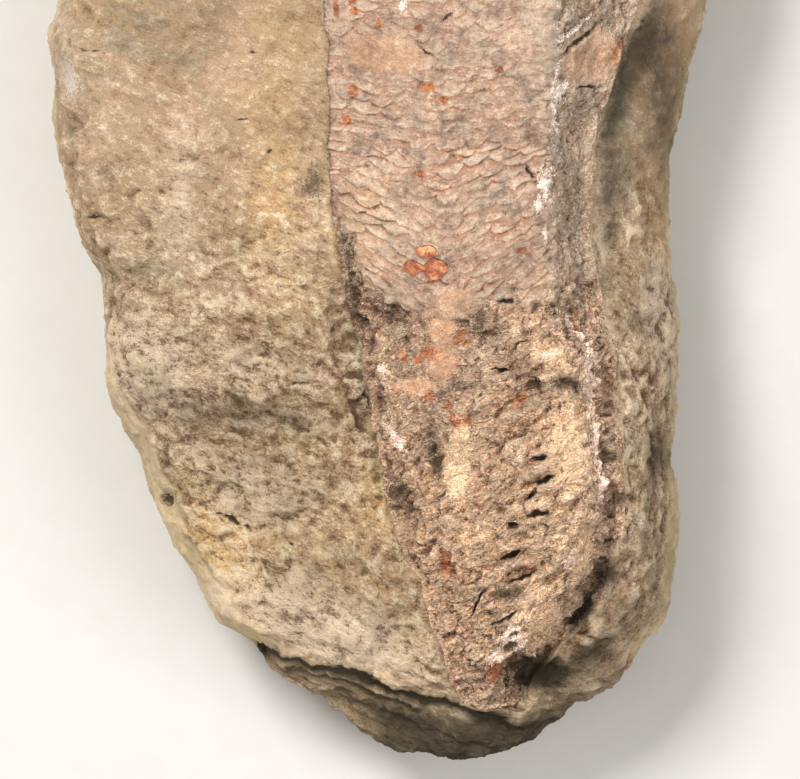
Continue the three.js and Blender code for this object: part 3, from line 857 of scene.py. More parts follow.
@dataclass
class Loft:
    """A closed mesh over a grid of ribs.

    Attributes:
        name: the piece's name.
        ribs: points in millimetres, shaped (ribs, points of a loop, 3), from tail to head.
        ends: the points that close the tail and the head.
        values: the numbers that the finish reads, one for each point of the grid.
    """

    name: str
    ribs: Array
    ends: tuple[Array, Array]
    values: dict[str, Array]

    def faces(self) -> tuple[Array, Array]:
        """Quads between the ribs, which close on themselves, and the two fans of triangles.

        Returns:
            The quads and the triangles, as rows of point numbers.
        """
        count, size = self.ribs.shape[:2]
        rib, k = np.meshgrid(np.arange(count - 1), np.arange(size), indexing="ij")
        here, after = rib * size + k, rib * size + (k + 1) % size
        quads = np.stack([here, after, after + size, here + size], axis=-1).reshape(-1, 4)
        k = np.arange(size)
        last = (count - 1) * size
        tail = np.stack([np.full(size, count * size), (k + 1) % size, k], axis=-1)
        head = np.stack([np.full(size, count * size + 1), last + k, last + (k + 1) % size], axis=-1)
        return quads, np.concatenate([tail, head])

    def map_corners(self) -> Array:
        """A flat map: around the loop by the longest rib's arc, and along by the grid's arc.

        Returns:
            The corners' places on the map, pair after pair, quads first.
        """
        count, size = self.ribs.shape[:2]
        middle = self.ribs[count // 2]
        around = np.linalg.norm(np.roll(middle, -1, axis=0) - middle, axis=1)
        u = np.r_[0.0, np.cumsum(around)] / around.sum()
        along = np.linalg.norm(np.diff(self.ribs, axis=0), axis=2).mean(axis=1)
        v = 0.01 + 0.98 * np.r_[0.0, np.cumsum(along)] / along.sum()
        rib, k = np.meshgrid(np.arange(count - 1), np.arange(size), indexing="ij")
        corners = [(k, rib), (k + 1, rib), (k + 1, rib + 1), (k, rib + 1)]
        quads = np.stack([np.stack([u[a], v[b]], axis=-1) for a, b in corners], axis=2)
        k = np.arange(size)
        middle_u = (u[k] + u[k + 1]) / 2.0
        low, high = np.zeros(size), np.ones(size)
        start, end = np.full(size, v[0]), np.full(size, v[-1])
        tail = np.stack([middle_u, low, u[k + 1], start, u[k], start], axis=-1)
        head = np.stack([middle_u, high, u[k], end, u[k + 1], end], axis=-1)
        return np.concatenate([quads.ravel(), tail.ravel(), head.ravel()])

    def build(self, material: bpy.types.Material) -> bpy.types.Object:
        """Write the mesh in metres, with its values and map, and link its object.

        Args:
            material: the piece's finish.

        Returns:
            The object, at the origin.
        """
        quads, fans = self.faces()
        points = np.concatenate([self.ribs.reshape(-1, 3), np.stack(self.ends)]) * MM
        mesh = bpy.data.meshes.new(self.name)
        mesh.from_pydata(points.tolist(), [], quads.tolist() + fans.tolist())
        mesh.shade_smooth()
        mesh.uv_layers.new(name=BAKE_MAP).uv.foreach_set("vector", self.map_corners())
        for name, grid in self.values.items():
            numbers = np.r_[grid.ravel(), grid[0].mean(), grid[-1].mean()].astype(np.float32)
            mesh.attributes.new(name, "FLOAT", "POINT").data.foreach_set("value", numbers)
        mesh.materials.append(material)
        mesh.update()
        thing = bpy.data.objects.new(self.name, mesh)
        bpy.context.scene.collection.objects.link(thing)
        return thing


# ---- Node materials ----


def srgb(code: str) -> tuple[float, float, float, float]:
    """A colour as light, from its six-figure screen code.

    Args:
        code: the colour's screen code.

    Returns:
        Red, green, blue and a full alpha.
    """
    parts = [int(code[i : i + 2], 16) / 255.0 for i in (0, 2, 4)]
    light = [p / 12.92 if p <= 0.04045 else ((p + 0.055) / 1.055) ** 2.4 for p in parts]
    return (light[0], light[1], light[2], 1.0)


class Value:
    """A number in a material. Arithmetic on it adds Math nodes."""

    def __init__(self, paint: Paint, socket: Socket) -> None:
        """Wrap a socket of a paint's tree."""
        self.paint = paint
        self.socket = socket

    def math(self, operation: str, *others: Number) -> Value:
        """The result of a Math node with this value first."""
        return self.paint.math(operation, self, *others)

    def __add__(self, other: Number) -> Value:
        """Add."""
        return self.math("ADD", other)

    __radd__ = __add__

    def __mul__(self, other: Number) -> Value:
        """Multiply."""
        return self.math("MULTIPLY", other)

    __rmul__ = __mul__

    def __sub__(self, other: Number) -> Value:
        """Subtract another number from this one."""
        return self.math("SUBTRACT", other)

    def __rsub__(self, other: Number) -> Value:
        """Subtract this one from another number."""
        return self.paint.math("SUBTRACT", other, self)

    def above(self, low: float, high: float) -> Value:
        """Rise smoothly from 0 at low to 1 at high."""
        made = self.paint.node(
            "ShaderNodeMapRange", {"interpolation_type": "SMOOTHSTEP"},
            {"Value": self, "From Min": low, "From Max": high},
        )
        return Value(self.paint, made.outputs["Result"])


class Paint:
    """A material's node tree, with one method for each thing that a finish needs."""

    def __init__(self, name: str) -> None:
        """Start an empty material whose patterns read Object coordinates.

        Args:
            name: the material's name.
        """
        self.material = bpy.data.materials.new(name)
        self.material.use_nodes = True
        self.tree = self.material.node_tree
        self.tree.nodes.clear()
        self.place = self.node("ShaderNodeTexCoord").outputs["Object"]
        self.colour: Colour = ""

    def node(
        self, kind: str, settings: dict | None = None, inputs: dict | None = None
    ) -> bpy.types.Node:
        """Add a node.

        Args:
            kind: the node's type.
            settings: its properties, set first.
            inputs: values, colour codes or links, by socket name or number.

        Returns:
            The node.
        """
        made = self.tree.nodes.new(kind)
        for name, setting in (settings or {}).items():
            setattr(made, name, setting)
        for name, given in (inputs or {}).items():
            given = given.socket if isinstance(given, Value) else given
            if isinstance(given, Socket):
                self.tree.links.new(given, made.inputs[name])
            else:
                made.inputs[name].default_value = srgb(given) if isinstance(given, str) else given
        return made

    def math(self, operation: str, *numbers: Number) -> Value:
        """A Math node on up to three numbers."""
        made = self.node("ShaderNodeMath", {"operation": operation}, dict(enumerate(numbers)))
        return Value(self, made.outputs[0])

    def read(self, name: str) -> Value:
        """A number that the mesh carries at its points."""
        made = self.node("ShaderNodeAttribute", {"attribute_name": name})
        return Value(self, made.outputs["Fac"])

    def stretched(self, length: float, heading: float) -> Socket:
        """Object coordinates in which a pattern is drawn out along a heading, in degrees.

        Args:
            length: how many times as long as wide the features become.
            heading: the angle that they are drawn out along.

        Returns:
            The coordinates.
        """
        turn, size = (0.0, 0.0, np.radians(heading)), (length, 1.0, 1.0)
        inputs = {"Vector": self.place, "Rotation": turn, "Scale": size}
        return self.node("ShaderNodeMapping", {"vector_type": "TEXTURE"}, inputs).outputs["Vector"]

    def noise(
        self, size: float, detail: float, rough: float, place: Socket | None = None, swirl: float = 0.0
    ) -> Value:
        """Noise from 0 to 1 whose largest features are a size in millimetres.

        Args:
            size: the size of the largest features.
            detail: how many smaller sizes are added.
            rough: how strong the smaller sizes are.
            place: the coordinates to read, or the object's own.
            swirl: how far the pattern is twisted.

        Returns:
            The noise.
        """
        inputs = {"Vector": place or self.place, "Scale": 1.0 / (size * MM), "Detail": detail}
        inputs |= {"Roughness": rough, "Distortion": swirl}
        made = self.node("ShaderNodeTexNoise", {"noise_dimensions": "3D"}, inputs)
        return Value(self, made.outputs["Fac"])

    def threads(self, size: float, heading: float, width: float, swirl: float = 1.0) -> Value:
        """Thin curling lines, where a noise drawn out along a heading passes its middle."""
        curls = self.noise(size, 2.0, 0.6, self.stretched(1.8, heading), swirl)
        return (curls - 0.5).math("ABSOLUTE").above(width, 0.0)

    def blend(self, base: Colour, over: Colour, amount: Number, way: str = "MIX") -> Socket:
        """Lay one colour over another by an amount from 0 to 1."""
        settings = {"data_type": "RGBA", "blend_type": way, "clamp_factor": True}
        return self.node("ShaderNodeMix", settings, {0: amount, 6: base, 7: over}).outputs[2]

    def lay(self, over: Colour, amount: Number) -> None:
        """Lay a colour over what the surface has so far, by an amount from 0 to 1."""
        self.colour = self.blend(self.colour, over, amount)

    def wash(self, over: str, name: str, grain: Value, most: float = 0.85) -> None:
        """Lay a broad wash over the surface.

        Args:
            over: the wash's colour.
            name: the attribute that holds its strength.
            grain: noise that eats into its edge.
            most: how much it covers where it is strongest.
        """
        self.lay(over, (self.read(name) + (grain - 0.5) * 1.4).above(0.1, 1.0) * most)

    def lit(self, factor: Value) -> None:
        """Multiply the surface's colour by a number."""
        inputs = {0: self.colour, "Scale": factor}
        self.colour = self.node("ShaderNodeVectorMath", {"operation": "SCALE"}, inputs).outputs[0]

    def finished(self, rough: Value, height: Value, specular: float) -> bpy.types.Material:
        """Join the surface to the output.

        Args:
            rough: roughness.
            height: fine relief in millimetres.
            specular: the shader's specular level.

        Returns:
            The material.
        """
        bump = self.node("ShaderNodeBump", {}, {"Strength": 1.0, "Distance": MM, "Height": height})
        inputs = {"Base Color": self.colour, "Roughness": rough, "Specular IOR Level": specular}
        inputs["Normal"] = bump.outputs["Normal"]
        shader = self.node("ShaderNodeBsdfPrincipled", {}, inputs)
        self.node("ShaderNodeOutputMaterial", {}, {"Surface": shader.outputs["BSDF"]})
        return self.material


# ---- The rows of scales ----


@dataclass(frozen=True)
class ScaleRows:
    """Overlapping scales in staggered rows, each free edge a shallow scallop towards the tail.

    The mesh and the finish use the same rows, so that a painted shadow line lies just below each
    scale's step.

    Attributes:
        row: distance between rows.
        pitch: distance between scales along a row.
        scallop: depth of a free edge's curve, in rows.
        tuck: how far a free edge lies from its row's line at the least, in rows.
        jitter: how far a scale's edge is shifted at random, in rows.
        fold_x: where the rows bend back, towards the tail.
        fold_round: how far the bend is rounded off.
        thickness: height of a scale's free edge.
        start: added to both coordinates, which keeps them above 0.
    """

    row: float = 2.6
    pitch: float = 5.4
    scallop: float = 0.44
    tuck: float = 0.2
    jitter: float = 0.5
    fold_x: float = 9.0
    fold_round: float = 3.0
    thickness: float = 0.5
    start: float = 100.0

    def place(self, x: Array, y: Array, points: Array) -> tuple[Array, Array]:
        """How many rows towards the head and pitches along a row each point lies.

        The rows slope up on both sides of the fold, more so towards the tail, and noise of two
        sizes bends them.

        Args:
            x: places across the part.
            y: places along the part, one for each x.
            points: the same places with z, which the noise reads.

        Returns:
            The rows and the pitches, one number each for each point.
        """
        big = np.stack([fractal(points / 9.0, 3, 41), fractal(points / 9.0, 3, 47)], axis=-1)
        small = np.stack([fractal(points / 3.0, 2, 53), fractal(points / 3.0, 2, 59)], axis=-1)
        slope = CurveThrough(((-55, 0.8), (-38, 0.6), (-24, 0.42), (-12, 0.18), (0, 0.1), (60, 0.1)))(y)
        fold = np.sqrt((x - self.fold_x) ** 2 + self.fold_round**2) - self.fold_round
        rows = (y - slope * fold + 1.3 * big[..., 1] + 0.3 * small[..., 1]) / self.row
        along = (x + 1.4 * big[..., 0] + 0.5 * small[..., 0]) / self.pitch
        return rows + self.start, along + self.start

    @staticmethod
    def scale(along: Places, row: Places, fraction: Callable) -> tuple[Places, Places]:
        """The scale of a row at a place along it.

        Args:
            along: the place along the row, in pitches.
            row: the row's number.
            fraction: a function that gives what is left of a number past its whole part.

        Returns:
            The place across the scale, from -0.5 to 0.5, and a shuffled number from 0 to 1,
            which is the fraction of a square of the fraction of the row's and column's multiples.
        """
        along = along - fraction(row * 0.5) + 0.5
        part = fraction(along) - 0.5
        first = fraction((along - part) * 0.618034 + row * 0.324718)
        return part, fraction(first * (first * 31.7 + 17.31))

    def free_edge(self, along: Places, row: Places, fraction: Callable) -> Places:
        """Where a row's free edge lies, in rows: a parabola at each scale, shifted at random.

        Args:
            along: the place along the row, in pitches.
            row: the row's number.
            fraction: a function that gives what is left of a number past its whole part.

        Returns:
            The edge's place across the rows.
        """
        part, chance = self.scale(along, row, fraction)
        scalloped = row - (self.tuck + self.scallop) + part * part * (4.0 * self.scallop)
        return scalloped + (chance - 0.5) * self.jitter

    def at(self, rows: Array, along: Array) -> tuple[Array, Array, Array]:
        """The scale on top at each point.

        Args:
            rows: how many rows towards the head each point lies.
            along: how many pitches along its row.

        Returns:
            How far above the scale's own free edge the point is, how far below the edge that
            covers it, both in rows, and a random number for the scale.
        """

        def fraction(number: Array) -> Array:
            """What is left past the whole part."""
            return number - np.floor(number)

        row = np.floor(rows)
        row += rows >= self.free_edge(along, row + 1.0, fraction)
        chance = self.scale(along, row, fraction)[1]
        above = rows - self.free_edge(along, row, fraction)
        return above, self.free_edge(along, row + 1.0, fraction) - rows, chance

    def painted(self, p: Paint, grit: Value) -> tuple[Value, Value, Value, Value, Value]:
        """The same rows in a finish.

        Args:
            p: the paint.
            grit: fine noise that frays the edges.

        Returns:
            How far above its own free edge and below the covering edge a point is, how near
            its scale's side, random numbers for its scale, and wrinkles that follow the rows.
        """

        def fraction(number: Value) -> Value:
            """What is left past the whole part."""
            return number.math("FRACT")

        rows = p.read("rows") + (grit - 0.5) * 0.3
        along = p.read("pitches") + (grit - 0.5) * 0.2
        row = rows.math("FLOOR")
        row = row + rows.math("GREATER_THAN", self.free_edge(along, row + 1.0, fraction))
        part, chance = self.scale(along, row, fraction)
        flow = p.node("ShaderNodeCombineXYZ", {}, {0: along * 1.9, 1: rows * 4.5})
        wrinkles = p.node(
            "ShaderNodeTexNoise", {"noise_dimensions": "2D"},
            {"Vector": flow.outputs[0], "Scale": 1.0, "Detail": 4.0, "Roughness": 0.7},
        )
        return (
            rows - self.free_edge(along, row, fraction),
            self.free_edge(along, row + 1.0, fraction) - rows,
            part.math("ABSOLUTE"),
            chance,
            Value(p, wrinkles.outputs["Fac"]),
        )


# ---- Finishes ----


@dataclass(frozen=True)
class LimestoneFinish:
    """The nodule's finish: pinkish grey and ochre limestone, broken rough or weathered smooth.

    Its fields are the screen codes of its colours, each named for what it shows.
    """

    base: str = "c0a07d"
    second: str = "ae9376"
    umber: str = "8c6c4e"
    ochre: str = "cda56c"
    grey: str = "a2947c"
    pale: str = "e0c8ac"
    rose: str = "c9a58b"
    flesh: str = "b98f74"
    fleck: str = "ebd4b0"
    crease: str = "624b34"
    skin: str = "d2bc94"
    # dark: the colour of painted shade, and of grime.
    dark: str = "3c3426"
    chalk: str = "ded0c4"
    hole: str = "32291f"

    def material(self) -> bpy.types.Material:
        """Build the node material.

        Returns:
            The material.
        """
        p = Paint("limestone")
        cavity, skin = p.read("cavity"), p.read("skin")
        rough, upright = p.read("rough"), p.read("upright")
        patches = p.noise(12.0, 5.0, 0.6, p.stretched(1.6, -18.0))
        clouds = p.noise(4.5, 5.0, 0.7, p.stretched(2.2, -22.0))
        level = p.noise(1.2, 5.0, 0.75, p.stretched(2.2, -24.0), 0.4)
        streaks = level + (p.noise(1.2, 5.0, 0.75, p.stretched(2.0, 80.0), 0.5) - level) * upright
        specks = p.noise(0.6, 4.0, 0.8, p.stretched(1.5, -24.0), 0.5)
        grit = p.noise(0.35, 3.0, 0.8)
        tone = clouds * 0.5 + streaks * 0.35 + cavity * 0.15
        p.colour = p.blend(self.base, self.second, (patches + clouds - 0.5).above(0.4, 0.6))
        p.lay(self.rose, (patches - clouds * 0.6 + 0.3).above(0.52, 0.62) * 0.5)
        p.wash(self.ochre, "ochre", clouds)
        p.wash(self.grey, "grey", clouds)
        p.wash(self.flesh, "rose", clouds, 0.6)
        smooth_skin = p.blend(self.skin, self.grey, clouds.above(0.45, 0.65) * 0.7)
        p.lay(smooth_skin, skin * 0.75)
        # Pale stone, with painted light where ridges and slopes face away from the key light.
        p.wash(self.pale, "pale", streaks)
        # The umber and pale layers follow tone, which holds the cavity: random grain, with painted
        # shade in hollows and painted highlight on what stands out.
        strength = 0.5 + rough * 0.6
        p.lay(self.umber, tone.above(0.5, 0.36) * strength * 0.6)
        p.lay(self.pale, tone.above(0.5, 0.64) * strength * 0.6)
        # Flecks and creases: random specks and grit, with painted highlight on raised grain and painted
        # shade in hollows through the cavity.
        fine = (specks * 0.45 + cavity * 0.2 + streaks * 0.2 + grit * 0.15 - 0.5) * (0.3 + rough * 1.15)
        p.lay(self.fleck, fine.above(0.01, 0.11) * 0.8)
        p.lay(self.crease, fine.above(-0.03, -0.14) * 0.75)
        cracks = p.threads(3.4, -26.0, 0.012) * rough * clouds.above(0.5, 0.4)
        p.lay(self.crease, cracks * 0.6)
        chalk = (p.read("chalk") + (specks - 0.5) * 2.0).above(0.4, 0.8)
        p.lay(self.chalk, chalk * 0.75)
        # Painted shade: the shade wash, the painted shadow under the ledges and the painted shade
        # beside the fish's right edge.
        shade = (p.read("shade") + (clouds - 0.5) * 1.2).above(0.08, 1.1)
        p.lay(self.dark, shade * 0.95)
        # Besides dirt and holes, the grime and slot marks paint the shadow on each ledge's step.
        grime = (p.read("grime") + (specks - 0.5) * 3.4 + (streaks - 0.5) * 0.8).above(0.4, 0.85)
        p.lay(self.dark, grime * 0.75)
        slot = (p.read("slot") + (specks - 0.5) * 1.2).above(0.42, 0.66)
        p.lay(self.hole, slot * 0.85)
        light = patches.above(0.38, 0.62) * 0.26 + clouds.above(0.38, 0.62) * 0.16 + 0.76
        p.lit((grit + 0.5) * light)
        height = (streaks * 0.5 + specks * 0.42 + grit * 0.22) * (0.4 + rough * 1.3)
        height = height - grime * 0.15 - cracks * 0.2
        return p.finished(0.84 + grit * 0.12, height, 0.2)


@dataclass(frozen=True)
class FossilFinish:
    """The fish's finish: pink scales with painted shadow lines under their edges, brown bone, rust,
    chalk and dark holes.

    Attributes:
        rows: the rows of scales, which the finish draws at their true lines.
        warmth: what the colour is multiplied by where it is sunny. The rest are colour codes.
    """

    rows: ScaleRows
    pink: str = "d0ac92"
    second: str = "bb977f"
    light: str = "e9cfb4"
    straw: str = "f3dbb9"
    bone: str = "dcb596"
    umber: str = "855840"
    ochre: str = "e0b98c"
    grey: str = "a99682"
    pale: str = "f3d8bd"
    rose: str = "bf8f76"
    tan: str = "b38c62"
    # stain also paints the shade just below each scale's edge; edge colours the painted shadow lines
    # under scale edges and beads.
    stain: str = "b0714a"
    edge: str = "5c3626"
    rust: str = "a3522f"
    orange: str = "d07f4a"
    bead: str = "a5492f"
    chalk: str = "ffe8da"
    plate: str = "dba57c"
    cream: str = "f6d6b0"
    grime: str = "4a3726"
    # dark: the colour of painted shade.
    dark: str = "3c3426"
    hole: str = "3a3027"
    warmth: tuple[float, float, float, float] = (1.08, 0.98, 0.92, 1.0)

    def material(self) -> bpy.types.Material:
        """Build the node material.

        Returns:
            The material.
        """
        p = Paint("fossil_bone")
        cavity, scaled, worn = p.read("cavity"), p.read("scaled"), p.read("worn")
        patches = p.noise(6.0, 5.0, 0.62)
        mottle = p.noise(2.0, 5.0, 0.7)
        specks = p.noise(0.8, 4.0, 0.75, None, 1.6)
        grit = p.noise(0.4, 3.0, 0.8)
        above, below, side, chance, wrinkles = self.rows.painted(p, grit)
        is_bead = p.read("bead").above(0.46, 0.54)
        is_plate = p.read("plate").above(0.35, 0.6)
        bare = 1.0 - is_bead
        broken = 1.0 - scaled
        torn = broken * (1.0 - is_plate * 0.75)
        sunny = broken * (1.0 - p.read("fleshy"))
        uneven = 1.0 - is_plate * 0.6
        weave = mottle * 0.5 + wrinkles * 0.4 + grit * 0.1
        p.colour = p.blend(self.bone, self.pink, p.read("fleshy"))
        p.lay(self.second, (patches + mottle * 0.5 - 0.25).above(0.44, 0.62) * 0.9)
        p.lay(self.grey, (patches + mottle * 0.3).above(0.65, 0.5) * (0.3 + scaled * 0.3))
        p.wash(self.rose, "rose", mottle, 0.7)
        p.wash(self.ochre, "ochre", mottle, 0.75)
        p.wash(self.grey, "grey", mottle, 0.75)
        p.wash(self.pale, "pale", mottle, 0.8)
        p.lay(self.plate, is_plate * 0.7)
        flakes = p.noise(3.2, 4.0, 0.6, p.stretched(1.6, 24.0), 1.0)
        tone = p.read("tone")
        tone = tone + (chance - tone) * scaled + (flakes - 0.5) * 0.8
        glow = p.blend(self.light, self.straw, sunny * (patches - mottle * 0.4 + 0.2).above(0.62, 0.46))
        p.lay(glow, tone.above(0.55, 0.9) * (0.8 - scaled * 0.4) * uneven)
        low = p.blend(self.rose, self.tan, sunny * patches.above(0.42, 0.56))
        p.lay(low, tone.above(0.5, 0.15) * (0.65 - scaled * 0.25) * uneven)
        p.lay(self.umber, tone.above(0.25, 0.0) * torn * 0.6)
        seen = chance * 0.7 + (mottle - 0.5) * 2.5 + (patches - 0.5) * 1.4
        seen = seen.above(0.0, 0.45) * (worn * 0.8 + 0.2)
        # Where the scales show their painted shading and outlines.
        scale_lines_and_shading = scaled * seen * (1.0 - is_plate)
        p.lay(glow, weave.above(0.48, 0.6) * 0.7 * uneven)
        p.lay(self.umber, weave.above(0.46, 0.36) * 0.5 * uneven)
        # Painted shade just below each covering edge, and a painted highlight along each free edge.
        p.lay(self.stain, below.above(0.8, 0.0) * scale_lines_and_shading * 0.55)
        p.lay(self.light, above.above(0.45, 0.1) * scale_lines_and_shading * 0.5)
        strands = p.threads(2.6, 24.0, 0.085, 1.8) * torn
        furrows = p.threads(3.2, 30.0, 0.06, 2.2) * torn
        earth = p.blend(self.umber, self.stain, patches.above(0.46, 0.56))
        p.lay(earth, furrows * mottle.above(0.42, 0.56) * 0.7)
        p.lay(self.straw, strands * mottle.above(0.6, 0.44) * 0.85)
        creamy = (p.read("cream") + (specks - 0.5) * 1.2).above(0.1, 0.7)
        p.lay(self.cream, creamy * 0.8)
        rust = p.blend(self.rust, self.orange, mottle.above(0.42, 0.58))
        rusty = (p.read("rust") + (specks - 0.5) * 0.8 + (mottle - 0.5) * 0.6).above(0.4, 0.6)
        p.lay(rust, rusty * 0.85)
        glaze = p.blend(self.bead, self.orange, (mottle + wrinkles - 0.5).above(0.42, 0.6))
        glaze = p.blend(glaze, self.ochre, (patches + mottle - 0.5).above(0.5, 0.64) * 0.5)
        p.lay(glaze, is_bead * 0.9)
        # Fine flecks: random specks and grit, with painted highlight on what stands out and painted
        # shade in hollows through the cavity.
        fine = specks * 0.5 + cavity * 0.3 + grit * 0.2
        p.lay(self.light, fine.above(0.52, 0.62) * (0.85 - is_bead * 0.7))
        p.lay(self.grime, fine.above(0.46, 0.34) * (sunny * 0.2 + 0.65 - creamy * 0.4))
        fibres = p.threads(1.6, 40.0, 0.03, 1.8) * torn * mottle.above(0.55, 0.45)
        clefts = p.threads(2.2, -30.0, 0.025, 1.8) * torn * patches.above(0.46, 0.56)
        p.lay(self.straw, fibres * 0.6)
        p.lay(self.grime, clefts * 0.5)
        strokes = p.noise(4.5, 3.0, 0.6, p.stretched(1.6, 0.0)).above(0.42, 0.56)
        # The scale lines are painted shadow just below each free edge, with outlines at the scales'
        # sides; the cracks between flakes are dark joints.
        line = below.above(0.34, 0.04).math("MAXIMUM", side.above(0.47, 0.5) * 0.3) * scale_lines_and_shading * bare
        line = line * (0.4 + strokes * 0.6)
        crack = p.read("gap").above(0.14, 0.02) * torn * mottle.above(0.42, 0.56)
        ink = p.blend(self.edge, self.stain, mottle.above(0.47, 0.6) * scaled)
        p.lay(ink, line.math("MAXIMUM", crack * (0.65 - creamy * 0.4)) * 0.95)
        # Painted shadow under each bead.
        lip = (p.read("lip") + (mottle - 0.5) * 0.8).above(0.44, 0.6) * bare
        p.lay(self.edge, lip * 0.35)
        grime = (p.read("grime") + (specks - 0.5) * 3.4 + (mottle - 0.5) * 0.8).above(0.4, 0.85)
        p.lay(self.grime, grime * 0.8)
        # Painted shade from the shade wash, with the dark line along the left seam.
        shade = (p.read("shade") + (mottle - 0.5) * 0.9 + (specks - 0.5) * 0.6).above(0.08, 1.15)
        p.lay(self.dark, shade * 0.95)
        chalk = (p.read("chalk") + (specks - 0.5) * 2.4 + (grit - 0.5) * 0.8).above(0.44, 0.58)
        p.lay(self.chalk, chalk * 0.9)
        slot = (p.read("slot") + (specks - 0.5) * 1.1).above(0.46, 0.64)
        p.lay(self.hole, slot * 0.9)
        p.colour = p.blend(p.colour, self.warmth, sunny, "MULTIPLY")
        light = patches.above(0.38, 0.62) * 0.34 + mottle.above(0.38, 0.62) * 0.24 + 0.71
        # The cream and chalk spots are brightened further, partly painted light where they face away
        # from the key light.
        light = light * (0.84 + sunny * 0.1 + creamy * 0.28 + chalk * 0.45)
        p.lit((0.55 + grit * 0.95) * light)
        height = mottle * 0.35 + specks * 0.4 + grit * 0.24 + (fibres - clefts) * 0.15
        height = height * (bare * 0.8 + 0.2) + wrinkles * scaled * bare * 0.4
        height = height + (strands - furrows + flakes * broken) * 0.35
        height = height - line * 0.2 - crack * 0.2 - grime * 0.15
        return p.finished(0.8 + grit * 0.12 - is_bead * 0.3, height, 0.3)


@dataclass(frozen=True)
class FloorFinish:
    """The plain pale floor's finish, whose two fields are the codes of its colours."""

    colour: str = "cdcac5"
    second: str = "c8c5bf"

    def material(self) -> bpy.types.Material:
        """Build the node material.

        Returns:
            The material.
        """
        p = Paint("pale_floor")
        speck = p.noise(6.0, 3.0, 0.55)
        p.colour = p.blend(self.colour, self.second, speck)
        return p.finished(0.85 + speck * 0.05, speck * 0.02, 0.2)


# ---- The stone nodule ----


@dataclass(frozen=True)
class Ledge:
    """A broken edge that the stone steps down from, towards the tail.

    Attributes:
        line: its points, as x and y.
        drop: the height of the step.
        width: how wide the step is.
        ragged: how far noise shifts it.
        lip_shadow: how strong the painted shadow on the step itself is.
        foot_shadow: how strong the painted shadow on the stone just under it is.
    """

    line: tuple[Point, ...]
    drop: float
    width: float
    ragged: float
    lip_shadow: float
    foot_shadow: float

    def parts(self, x: Array, y: Array, stray: Array) -> tuple[Array, Array, Array]:
        """Where a point lies on the step.

        Args:
            x: places across the part.
            y: places along the part, one for each x.
            stray: noise that makes the step's line ragged.

        Returns:
            How far down the step it is, from 0 above to 1 below, the painted shadow on its lip,
            which is 0 above and below, and the painted shadow at its foot, which fades over 2 mm.
            All three die away past the line's ends.
        """
        distance = CurveThrough(self.line)(x) - y + self.ragged * stray
        step = smooth(distance / self.width + 0.5)
        start, end = self.line[0][0], self.line[-1][0]
        fade = smooth((x - start) / 5.0 + 1.0) * smooth((end - x) / 5.0 + 1.0)
        foot = smooth(distance / 0.6 + 0.7) * np.exp(-np.maximum(distance - 0.7, 0.0) / 1.9)
        lip = 4.0 * step * (1.0 - step)
        return step * fade, self.lip_shadow * lip * fade, self.foot_shadow * foot * fade


# How rough the broken stone is, by y.
BROKEN_ROUGHNESS = CurveThrough(
    ((-120, 1.0), (-95, 1.05), (-72, 1.3), (-50, 1.0), (-30, 0.75), (0, 0.48), (137, 0.5))
)
# Each ledge ends with the strength of the painted shadow on its step and at its foot.
LEDGES = (
    Ledge(
        ((-38, -107.5), (-29.8, -114.4), (-18.4, -117.4), (-10.2, -119.4), (-4.2, -122),
         (0, -125.1), (6.4, -127.6), (15.2, -129.5), (26, -132)),
        3.4, 1.2, 1.6, 1.0, 1.2,
    ),
    Ledge(
        ((-20, -119.8), (-15.2, -120.8), (-8, -123), (-3.8, -125.4), (4, -130)),
        1.4, 1.0, 1.4, 0.8, 0.9,
    ),
    Ledge(((-12, -125), (-7, -127.4), (0.4, -131.2), (7.2, -133.6)), 0.9, 1.0, 1.2, 0.7, 0.8),
)


